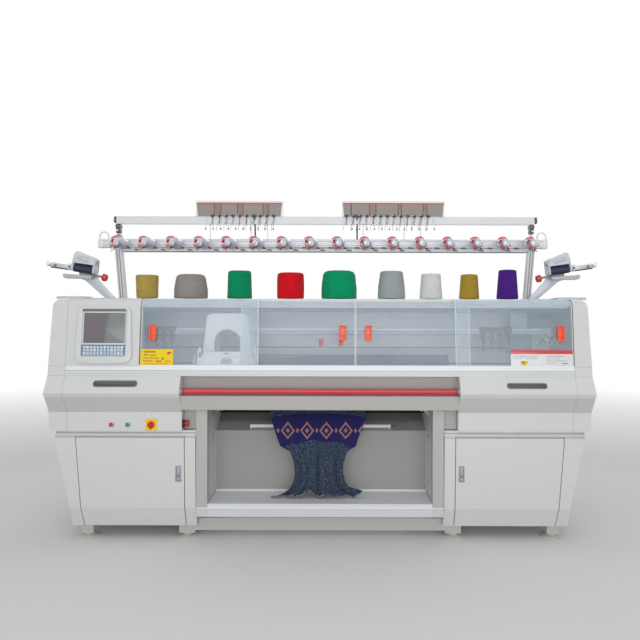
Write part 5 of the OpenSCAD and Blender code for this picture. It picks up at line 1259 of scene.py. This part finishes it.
class MACHINE_OT_stand(bpy.types.Operator):
    """Yarn stand, feeder beam, guide plates and their hooks"""
    bl_idname = "machine.stand"
    bl_label = "Yarn stand"

    def execute(self, context):
        finish_node("stand", "feeder_beam")
        finish_node("stand_coat", "yarn_stand_frame")
        finish_node("tray", "guide_plates")
        low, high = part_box("feeder_beam")
        y, bottom = FRONT + 0.3514, 1.475
        cx = middle("feeder_beam")[0]
        lines = Piece("beam_slots")
        span = high.x - low.x
        for z in (0.0135, 0.0345):
            lines.put(slab(span - 0.05, 0.0012, 0.0016), "grey", cx, y - 0.0212, bottom + z)
        for side, x in ((-1, low.x), (1, high.x)):
            lines.put(panel(0.044, 0.05, 0.01, 0.026, 0.002), "white",
                      x - (0.0 if side < 0 else 0.0258), y, bottom + 0.024, 90, 0, 90)
            # the wire loops stand on the beam's ends
            start = side * span / 2 + cx - side * 0.026
            loop = [(start + 0.024 * math.cos(math.pi * k / 14), y,
                     bottom + 0.062 + 0.024 * math.sin(math.pi * k / 14)) for k in range(15)]
            loop = [(loop[0][0], y, bottom + 0.046)] + loop + [(loop[-1][0], y, bottom + 0.046)]
            lines.put(tube(loop, 0.0036, 10), "white")
        # pale rail under the beam, with a dark lower edge and the dark wedges between its brackets
        lines.put(slab(2.16, 0.018, 0.018, 0.002), "white", 0.017, y - 0.002, 1.4565)
        lines.put(slab(2.16, 0.01, 0.0034, 0.001), "slot", 0.017, y - 0.004, 1.453)
        for x in unit_places(context.scene.machine_sizes):
            for dx, dz, w in ((-0.046, -0.002, 0.028), (0.052, -0.0145, 0.03)):
                wedge = [(-w / 2, 0.002), (w / 2, 0), (w / 2 - 0.01, 0.0062), (-w / 2 + 0.002, 0.0078)]
                lines.put(prism(wedge, 0.0125, 0.001), "dark", x + dx, y - 0.0085, bottom + dz, 90)
        lines.make("machine")
        posts = Piece("post_slots")
        for x in (-1.092, 1.126):
            for dx in (-0.0065, 0.0065):
                posts.put(slab(0.005, 0.0016, 0.268), "grey", x + dx, FRONT + 0.3978, 1.2075, 14)
            posts.put(slab(0.0036, 0.002, 0.268), "white", x, FRONT + 0.3976, 1.2075, 14)
            posts.put(slab(0.02, 0.042, 0.05, 0.003), "dark", x, y - 0.001, 1.5535)
            posts.put(slab(0.026, 0.046, 0.012, 0.003), "slot", x, y - 0.001, 1.585)
            posts.put(rod(0.006, 0.012, 16, 0.002), "chrome", x, y - 0.02, 1.566, 90)
        posts.put(slab(0.03, 0.038, 0.022, 0.003), "grey", -1.092, y, 1.5235)
        for side, x in ((-1, -1.1005), (1, 1.1405)):
            posts.put(rod(0.0145, 0.018, 20, 0.003), "slot",
                      x - (0.017 if side < 0 else 0.001), y, 1.623, 0, 90)
            posts.put(slab(0.018, 0.024, 0.01, 0.002), "dark", x + side * 0.006, y, 1.6335)
            posts.put(ring(0.009, 0.0026, 18, 8), "chrome", x + side * 0.013, y, 1.626, 0, 90)
        posts.make("machine")
        hooks = Piece("guide_hooks")
        plate, clip_z, beam_z = FRONT + 0.3234, 1.642, 1.522
        for x, start, count, post in ((-0.44, -0.583, 9, -0.359), (0.382, 0.132, 12, 0.189)):
            for i in range(count + 1):
                hx = start + i * 0.0362
                odd = noise.noise(Vector((hx * 31, 0.7, 2.0)))
                # clip on the tray's lower edge with its eye
                hooks.put(slab(0.016 + 0.006 * odd, 0.012, 0.012, 0.003), "dark", hx, plate - 0.004, 1.6395)
                hooks.put(ring(0.005, 0.0018, 14, 6), "dark", hx + 0.004, plate - 0.01, 1.643, 80, 0, 25)
                hooks.put(ball(0.0032, 0.003, 0.0032, 10), "bright" if i % 3 else "green",
                          hx - 0.006, plate - 0.009, 1.648)
                strand = [(hx, plate - 0.004, clip_z), (hx + 0.004 * odd, plate - 0.001, 1.62),
                          (hx - 0.012 - 0.01 * odd, plate + 0.002, 1.592),
                          (hx - 0.02 * (0.6 + odd), plate + 0.003, 1.566)]
                hooks.put(tube(bend(strand, 6), 0.001, 6), "slot")
                hooks.put(tube([(hx, plate + 0.005, clip_z), (hx, plate + 0.005, 1.59)], 0.0012, 6), "slot")
            pipe = [(post, plate + 0.012, clip_z), (post + 0.001, plate + 0.02, 1.58),
                    (post + 0.001, y, beam_z)]
            hooks.put(tube(pipe, 0.0042, 8), "dark")
            hooks.put(slab(0.024, 0.012, 0.014, 0.004), "dark", post, plate - 0.003, 1.638)
            for dx in (-0.16, 0.06, 0.15):
                hooks.put(tube([(x + dx, plate + 0.012, clip_z), (x + dx, y, beam_z)], 0.0011, 6), "slot")
        hooks.make("machine")
        return {"FINISHED"}


class MACHINE_OT_units(bpy.types.Operator):
    """Tension units on the feeder beam"""
    bl_idname = "machine.units"
    bl_label = "Tension units"

    def execute(self, context):
        piece = Piece("yarn_tension_units")
        put = piece.put
        y = FRONT + 0.3304
        for x in unit_places(context.scene.machine_sizes):
            piece.base = at(x, y - 0.086, 1.491, 0, 0, -8)
            put(slab(0.028, 0.026, 0.032, 0.003), "unit", x, y - 0.013, 1.483, on=Matrix())
            # shell: a long egg over a darker tray
            put(ball(0.0262, 0.071, 0.0275, 28), "unit", 0, 0.0, 0.002, -4)
            put(ball(0.0215, 0.066, 0.0235, 24), "unit_low", 0.001, 0.0, -0.01, -3)
            put(slab(0.03, 0.07, 0.005, 0.002), "slot", 0.003, 0.01, -0.0215)
            put(slab(0.016, 0.052, 0.008, 0.002), "dark_red", 0.004, -0.018, -0.025, 9, 0, -16)
            # oval cap near the front end, with a pale pink patch on its top as a painted highlight
            put(ball(0.0225, 0.019, 0.0078, 24), "cap_red", -0.0125, -0.044, 0.0235, 10, -6)
            put(ring(0.0205, 0.0022, 28, 8), "unit", -0.0125, -0.044, 0.0205, 10, -6)
            put(ball(0.012, 0.01, 0.0032, 18), "pink", -0.013, -0.0455, 0.03, 10, -6)
            # small discs at the front end, with their spring and nut
            put(rod(0.005, 0.022, 16, 0.001), "chrome", 0.0, -0.056, -0.004, 90)
            put(lathe([(0, 0), (0.011, 0), (0.0148, 0.0025), (0.0148, 0.0035), (0.011, 0.0015), (0, 0.0015)],
                      28), "unit_low", 0.004, -0.064, -0.006, 90)
            put(lathe([(0, 0), (0.0148, 0.0), (0.0148, 0.0012), (0.011, 0.0032), (0, 0.0032)], 28),
                "unit", 0.004, -0.068, -0.006, 90)
            put(rod(0.005, 0.006, 18, 0.0015), "unit", 0.004, -0.0725, -0.006, 90)
            # red parts round the discs
            put(ball(0.0065, 0.011, 0.0088, 16), "red", -0.024, -0.05, 0.006, 0, 20)
            put(ring(0.0085, 0.0017, 20, 8), "pink", -0.019, -0.064, -0.012, 78, 0, 40)
            put(ring(0.0058, 0.0015, 18, 8), "cap_red", -0.0115, -0.072, -0.0215, 75, 0, -20)
            put(slab(0.005, 0.006, 0.02, 0.0015), "pink", -0.0215, -0.064, -0.027, 0, -24)
            put(slab(0.0045, 0.006, 0.018, 0.0015), "cap_red", -0.006, -0.069, -0.03, 0, 30)
            put(ring(0.0072, 0.0018, 18, 8), "plum", 0.0205, -0.064, -0.013, 78, 0, 20)
            put(ball(0.0048, 0.004, 0.0042, 12), "plum", 0.014, -0.065, -0.0215)
            put(ball(0.005, 0.0042, 0.006, 12), "slot", -0.0255, -0.052, 0.001)
            # lever at the right with its red button and dark tip
            put(slab(0.02, 0.007, 0.005, 0.002), "slot", 0.016, 0.034, -0.0255, 0, 6, 14)
            put(ball(0.0135, 0.0095, 0.0092, 16), "red", 0.012, 0.024, -0.019, 0, 10)
            put(ball(0.0085, 0.006, 0.005, 14), "dark", 0.0265, 0.027, -0.023, 0, 14)
            # wires and their eyes
            for wire, line in (
                    (0.0012, [(-0.02, -0.055, -0.012), (-0.024, -0.074, -0.026), (-0.012, -0.08, -0.038),
                              (0.004, -0.078, -0.042)]),
                    (0.0014, [(0.01, -0.04, -0.018), (-0.002, -0.062, -0.034), (-0.016, -0.074, -0.046)])):
                put(tube([piece.base @ p for p in bend(line)], wire, 6), "slot", on=Matrix())
            put(ring(0.0046, 0.0013, 16, 6), "ceramic", -0.016, -0.075, -0.046, 60, 0, 20)
            put(slab(0.008, 0.006, 0.014, 0.0015), "slot", -0.014, -0.046, -0.034, 12, 18)
        piece.make("machine", ["tension_units"])
        return {"FINISHED"}


class MACHINE_OT_feeders(bpy.types.Operator):
    """Side feeders with their rollers"""
    bl_idname = "machine.feeders"
    bl_label = "Side feeders"

    def execute(self, context):
        finish_node("roller", "left_feed_roller", "right_feed_roller")
        piece = Piece("storage_feeders")
        put = piece.put
        for side in (-1, 1):
            mirror = Matrix.Scale(side, 4, (1, 0, 0))
            piece.base = mirror @ at(1.272, FRONT + 0.34, 1.361, 0, -8)
            put(slab(0.154, 0.098, 0.0138, 0.004, 3), "unit", 1.325, FRONT + 0.34, 1.2001, on=mirror)
            put(slab(0.126, 0.028, 0.0058, 0.002), "unit", 1.185, FRONT + 0.37, 1.2001, on=mirror)
            put(prism([(1.122, 1.2003), (1.122, 1.212), (1.208, 1.303), (1.216, 1.349), (1.314, 1.349),
                       (1.308, 1.311), (1.278, 1.299), (1.164, 1.2003)], 0.016, 0.003), "unit",
                0, FRONT + 0.378, 0, 90, on=mirror)
            # fold along the band's upper side, painted white as a highlight on its edge
            put(tube([(1.126, FRONT + 0.366, 1.2125), (1.21, FRONT + 0.366, 1.3035),
                      (1.218, FRONT + 0.366, 1.345)], 0.004, 8), "white", on=mirror)
            # tray under the roller
            put(prism([(1.224, 1.307), (1.364, 1.309), (1.376, 1.317), (1.376, 1.335), (1.224, 1.323)], 0.057,
                      0.006, 3), "tray_grey", 0, FRONT + 0.363, 0, 90, on=mirror)
            # hood: its top falls towards the machine
            rows = []
            for x in (-0.06, -0.054, -0.03, 0.0, 0.03, 0.054, 0.06):
                tall = 0.034 + 0.03 * (x + 0.06) / 0.12
                thin = 0.004 if abs(x) > 0.055 else 0.0
                back, roof, face = 0.044 - thin, 0.028 + tall - thin, -0.03 + thin
                outline = [(back, -0.02), (back, 0.028 + tall * 0.55), (0.04 - thin, 0.028 + tall * 0.8),
                           (0.03, roof), (0.01, roof), (-0.01, 0.028 + tall * 0.86 - thin),
                           (-0.024 + thin, 0.028 + tall * 0.55), (face, 0.032), (face, 0.026), (0.02, 0.026),
                           (0.027, 0.016), (0.027, -0.02)]
                rows.append([(x, y, z) for y, z in outline])
            hood = bmesh.new()
            put(skin(hood, [[hood.verts.new(p) for p in row] for row in rows]), "hood")
            turn = Matrix(((0, 0, 1, 0), (1, 0, 0, 0), (0, 1, 0, 0), (0, 0, 0, 1)))
            for x, tall in ((-0.06, 0.06), (0.052, 0.09)):
                ear = [(-0.029, -0.019), (0.043, -0.019), (0.043, tall - 0.026), (0.03, tall - 0.004),
                       (0.006, tall - 0.003), (-0.02, tall - 0.026), (-0.029, 0.02)]
                put(prism(ear, 0.008, 0.003), "hood", on=piece.base @ at(x, 0, 0) @ turn)
            # pressed field and slots on the hood's front
            put(panel(0.07, 0.026, 0.008, 0.002, 0.0007), "tray_grey", 0.004, -0.0225, 0.052, 62, -10)
            for k in range(5):
                put(slab(0.003, 0.02, 0.001, 0.0003), "slot",
                    -0.02 + 0.012 * k, 0.012, 0.06 + 0.003 * k, 0, -14)
            # outer arm: thick root, tapering rail, eye and dark underside
            put(slab(0.034, 0.03, 0.036, 0.009, 4), "hood", 0.076, 0.011, -0.018)
            put(rod(0.013, 0.01, 24, 0.003), "chrome", 0.076, -0.003, 0.0, 90)
            put(rod(0.006, 0.012, 20, 0.002), "dark", 0.076, -0.005, 0.0, 90)
            put(prism([(0.085, -0.014), (0.205, -0.012), (0.2075, -0.004), (0.205, 0.006), (0.15, 0.0095),
                       (0.085, 0.01)], 0.016, 0.004, 3), "arm", 0, 0.019, 0, 90)
            put(slab(0.1, 0.012, 0.006, 0.002), "dark", 0.135, 0.011, -0.0185)
            put(rod(0.009, 0.016, 20, 0.003), "bright", 0.196, 0.004, -0.003, 90)
            put(ring(0.007, 0.002, 18, 8), "ceramic", 0.199, -0.003, 0.007, 90)
            put(ring(0.006, 0.0018, 18, 8), "ceramic", 0.166, -0.001, 0.008, 90, 0, 20)
            put(slab(0.012, 0.01, 0.012, 0.003), "slot", 0.16, 0.003, -0.01)
            # red knob on its stem, towards the machine
            put(rod(0.0065, 0.056, 14), "grey", -0.052, 0.008, -0.026, 0, -94)
            put(lathe([(0, 0), (0.016, 0), (0.0205, 0.004), (0.021, 0.012), (0.018, 0.024), (0.01, 0.028),
                       (0, 0.0285)], 28), "red", -0.098, 0.008, -0.03, 0, -94)
            for k in range(4):
                put(rod(0.0026, 0.003, 10), "bright", -0.04 + 0.027 * k, 0.0425, 0.01, -90)
        piece.make("machine", ["side_feeders"])
        return {"FINISHED"}


# name, node and slot, X; foot, belly, top, height and shoulder in millimetres; light colour (painted light on
# the ridges of the winding), dark colour (painted shade in its grooves), lumps, strand share
CONES = (
    ("gold_cone", "bright", -0.955, 118, 122, 126, 132, 8, (0.74, 0.55, 0.15), (0.3, 0.2, 0.045), 3.0, 2.2),
    ("grey_cone", "pale", -0.715, 182, 182, 164, 136, 24, (0.5, 0.47, 0.44), (0.24, 0.21, 0.19), 1.4, 1.0),
    ("green_cone", "green", -0.449, 136, 132, 126, 156, 12, (0.0, 0.48, 0.2), (0.0, 0.21, 0.085), 0.8, 0.9),
    ("red_cone", "bright", -0.171, 148, 150, 146, 146, 14, (1.0, 0.012, 0.028), (0.66, 0.003, 0.01), 0.9, 0.9),
    ("big_green_cone", "green", 0.094, 196, 194, 180, 157, 26, (0.0, 0.5, 0.22), (0.0, 0.22, 0.09), 1.4, 1.5),
    ("silver_cone", "pale", 0.38, 152, 146, 126, 156, 12, (0.58, 0.63, 0.63), (0.3, 0.33, 0.33), 1.0, 1.0),
    ("white_cone", "pale", 0.596, 126, 116, 106, 142, 8, (1.0, 1.0, 1.0), (0.76, 0.78, 0.78), 0.5, 0.8),
    ("ochre_cone", "bright", 0.805, 110, 102, 92, 139, 8, (0.66, 0.47, 0.07), (0.33, 0.21, 0.02), 0.6, 0.9),
    ("purple_cone", "bright", 1.014, 118, 108, 96, 164, 8, (0.13, 0.03, 0.4), (0.05, 0.008, 0.18), 0.6, 0.9),
)


class MACHINE_OT_cones(bpy.types.Operator):
    """Yarn cones on the table"""
    bl_idname = "machine.cones"
    bl_label = "Yarn cones"

    def execute(self, context):
        s = context.scene.machine_sizes
        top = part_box("yarn_table")[1].z
        y = FRONT + 0.4
        rows, waist = 56, 0.45
        for name, kind, x, foot, belly, head, tall, shoulder, light, dark, lump, strand in CONES:
            step = s.strand * strand
            yarn = wound_yarn(name.replace("_", " "), light, dark, step, 0.5 if lump > 1 else 0.25)
            h, sh, r = tall / 1000, shoulder / 1000, head / 2000
            line = [(0.0, 0.005), (0.026, 0.005), (foot / 2000 - 0.004, 0.005), (foot / 2000 - 0.001, 0.008)]
            for i in range(rows + 1):
                t = i / rows
                if t < waist:
                    wide = foot + (belly - foot) * t / waist
                else:
                    wide = belly + (head - belly) * (t - waist) / (1 - waist)
                line.append((wide / 2000, 0.011 + (h - 0.011 - sh) * t))
            line += [(r - 0.15 * sh, h - 0.55 * sh), (r - 0.45 * sh, h - 0.2 * sh), (r - sh, h), (0.03, h),
                     (0.019, h - 0.001)]

            def wobble(r, z, a, lump=lump, seed=x * 17, step=step, wind=0.00018 * min(strand, 1.5)):
                """Lumps of the winding, and the ridges of its turns."""
                if r < 0.024:
                    return r, z
                spot = Vector((math.cos(a) * 2.2 + seed, math.sin(a) * 2.2, z * 26))
                soft = noise.noise(spot) * 0.0012 * lump
                return r - 0.0016 * lump * 0.6 + soft + math.sin(z / step * math.tau + a * 2) * wind, z

            piece = Piece(name)
            piece.add(lathe(line, 96, wobble), yarn)
            piece.put(lathe([(0.0, 0.0), (0.029, 0.0), (0.029, 0.005), (0.0, 0.005)], 32), "card")
            piece.put(lathe([(0.0192, h - 0.004), (0.0188, h + 0.0018), (0.016, h + 0.0018), (0.014, h - 0.02),
                             (0.0, h - 0.02)], 32), "card")
            # a loose end that lies over the shoulder
            reach = r - sh * 0.5 + 0.0005
            end = [(reach * math.cos(0.08 * k), reach * math.sin(0.08 * k), h - 0.24 * sh + 0.001)
                   for k in range(14)]
            piece.add(tube(end, 0.0009, 5), yarn)
            made = piece.make("machine", (), 50)
            made.location = (x, y, top)
            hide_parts(kind + "_cones")
        return {"FINISHED"}


class MACHINE_OT_knitwear(bpy.types.Operator):
    """The knitted piece that hangs into the bin"""
    bl_idname = "machine.knitwear"
    bl_label = "Knitted piece"

    def execute(self, context):
        s = context.scene.machine_sizes
        yarns = ((0.008, 0.014, 0.06), (0.022, 0.05, 0.15), (0.07, 0.15, 0.24), (0.4, 0.48, 0.5))
        pale = ((0.2, 0.2, 0.19), (0.3, 0.31, 0.3), (0.38, 0.39, 0.38), (0.5, 0.5, 0.48))
        melange = knit("blue melange", s.stitch, yarns)
        band = knit("navy band", s.stitch, ((0.008, 0.006, 0.15), (0.015, 0.018, 0.09)), (0.92, 0.46, 0.36))
        lining = knit("pale lining", s.stitch, pale)
        mesh = bmesh.new()
        # rows of the hanging line: height, depth, left edge, right edge, depth of the folds
        spine = [(0.9, 0.2185, -0.258, 0.222, 0.0), (0.78, 0.2185, -0.258, 0.222, 0.0),
                 (0.655, 0.2185, -0.256, 0.22, 0.001), (0.63, 0.206, -0.254, 0.222, 0.002),
                 (0.605, 0.188, -0.252, 0.232, 0.004), (0.59, 0.176, -0.25, 0.234, 0.005),
                 (0.54, 0.169, -0.236, 0.212, 0.006), (0.49, 0.168, -0.218, 0.19, 0.008),
                 (0.455, 0.168, -0.204, 0.18, 0.009), (0.425, 0.168, -0.152, 0.134, 0.011),
                 (0.37, 0.168, -0.134, 0.116, 0.011), (0.32, 0.169, -0.129, 0.114, 0.012),
                 (0.275, 0.17, -0.136, 0.124, 0.013), (0.24, 0.169, -0.156, 0.146, 0.014),
                 (0.214, 0.166, -0.198, 0.18, 0.014), (0.203, 0.158, -0.232, 0.204, 0.01),
                 (0.1985, 0.148, -0.246, 0.212, 0.008), (0.2085, 0.143, -0.248, 0.214, 0.006)]
        # how far the hem is lifted along its width, and where its lining shows
        lifts = [(0.0, 0.0), (0.17, 0.0), (0.23, 0.009), (0.3, 0.005), (0.35, 0.016), (0.395, 0.038),
                 (0.43, 0.036), (0.47, 0.014), (0.53, 0.001), (0.57, 0.012), (0.63, 0.02), (0.68, 0.008),
                 (0.74, 0.013), (0.81, 0.012), (0.9, 0.004), (0.96, 0.016), (1.0, 0.034)]
        linings = [(0.0, 0.24), (0.27, 0.47), (0.5, 0.58), (0.92, 1.0)]
        rows, columns = 130, 150
        melange_slot, band_slot, lining_slot = 0, 1, 2
        hem_z = 0.25

        def row(t):
            """Values between two rows of the hanging line."""
            k = min(int(t * (len(spine) - 1)), len(spine) - 2)
            u = t * (len(spine) - 1) - k
            u = u * u * (3 - 2 * u) * 0.35 + u * 0.65
            return [a + (b - a) * u for a, b in zip(spine[k], spine[k + 1])]

        grid = []
        for j in range(rows + 1):
            z, d, left, right, wave = row(j / rows)
            line = []
            for i in range(columns + 1):
                u = i / columns
                x = left + (right - left) * u
                fold = math.sin(u * math.tau * 5.5 + 0.6) + 0.5 * math.sin(u * math.tau * 9 + 2.1)
                fold += 0.6 * noise.noise(Vector((u * 7, z * 9, 3.1)))
                deep = max(0.0, min(1.0, (0.46 - z) / 0.12))
                fold += deep * (0.9 * math.sin(u * math.tau * 3 + 1.9)
                                + 0.5 * noise.noise(Vector((u * 16, z * 6, 8.4))))
                y = FRONT + d - fold * wave * 0.62
                zz = z
                if z < hem_z:
                    lift = (hem_z - z) / 0.05
                    k = max(n for n in range(len(lifts) - 1) if lifts[n][0] <= u)
                    part = (u - lifts[k][0]) / (lifts[k + 1][0] - lifts[k][0])
                    part = part * part * (3 - 2 * part)
                    zz = z + lift * (lifts[k][1] + (lifts[k + 1][1] - lifts[k][1]) * part)
                    y -= lift * 0.01 * (1 - abs(2 * u - 1)) * 0.8
                line.append(mesh.verts.new((x, y, zz)))
            grid.append(line)
        for j in range(rows):
            for i in range(columns):
                f = mesh.faces.new((grid[j][i], grid[j + 1][i], grid[j + 1][i + 1], grid[j][i + 1]))
                zz = grid[j][i].co.z
                u = i / columns
                lower = 0.441 + 0.042 * math.sin(math.pi * u) ** 0.8 + 0.004 * math.sin(u * 19)
                upper = 0.592 + 0.024 * math.sin(math.pi * u) ** 0.6
                f.material_index = band_slot if lower < zz < upper else melange_slot
                if j >= rows - 7 and any(a <= u <= b for a, b in linings):
                    f.material_index = lining_slot
        area = sum(f.calc_area() for f in mesh.faces)
        length = sum((grid[j][columns // 2].co - grid[j + 1][columns // 2].co).length for j in range(rows))
        data = bpy.data.meshes.new("hanging_knitwear")
        mesh.to_mesh(data)
        mesh.free()
        for mat in (melange, band, lining):
            data.materials.append(mat)
        data.shade_smooth()
        made = bpy.data.objects.new("hanging_knitwear", data)
        context.scene.collection.objects.link(made)
        thick = made.modifiers.new("thickness", "SOLIDIFY")
        thick.thickness, thick.offset = 0.0026, 0
        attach(made, "machine")
        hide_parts("knitted_fabric")
        round(area / length * 1.04, 3)
        return {"FINISHED"}


STEPS = (MACHINE_OT_stage, MACHINE_OT_covers, MACHINE_OT_console, MACHINE_OT_windows, MACHINE_OT_controls,
         MACHINE_OT_carriage, MACHINE_OT_beds, MACHINE_OT_carriers, MACHINE_OT_stand, MACHINE_OT_units,
         MACHINE_OT_feeders, MACHINE_OT_cones, MACHINE_OT_knitwear)


class MACHINE_PT_panel(bpy.types.Panel):
    """Lists the steps and the settings"""
    bl_idname = "MACHINE_PT_panel"
    bl_label = "Flat knitting machine"
    bl_space_type = "VIEW_3D"
    bl_region_type = "UI"
    bl_category = "Machine"

    def draw(self, context):
        for step in STEPS:
            self.layout.operator(step.bl_idname)
        for group in (context.scene.machine_colours, context.scene.machine_sizes):
            for key in group.__annotations__:
                self.layout.prop(group, key)


CLASSES = (MachineColours, MachineSizes) + STEPS + (MACHINE_PT_panel,)


def register():
    """Adds the classes and the settings."""
    for c in CLASSES:
        bpy.utils.register_class(c)
    bpy.types.Scene.machine_colours = PointerProperty(type=MachineColours)
    bpy.types.Scene.machine_sizes = PointerProperty(type=MachineSizes)


def unregister():
    """Takes the classes and the settings away."""
    del bpy.types.Scene.machine_sizes
    del bpy.types.Scene.machine_colours
    for c in reversed(CLASSES):
        bpy.utils.unregister_class(c)


def main():
    """Builds everything."""
    register()
    for step in STEPS:
        group, name = step.bl_idname.split(".")
        getattr(getattr(bpy.ops, group), name)()


if __name__ == "__main__":
    main()
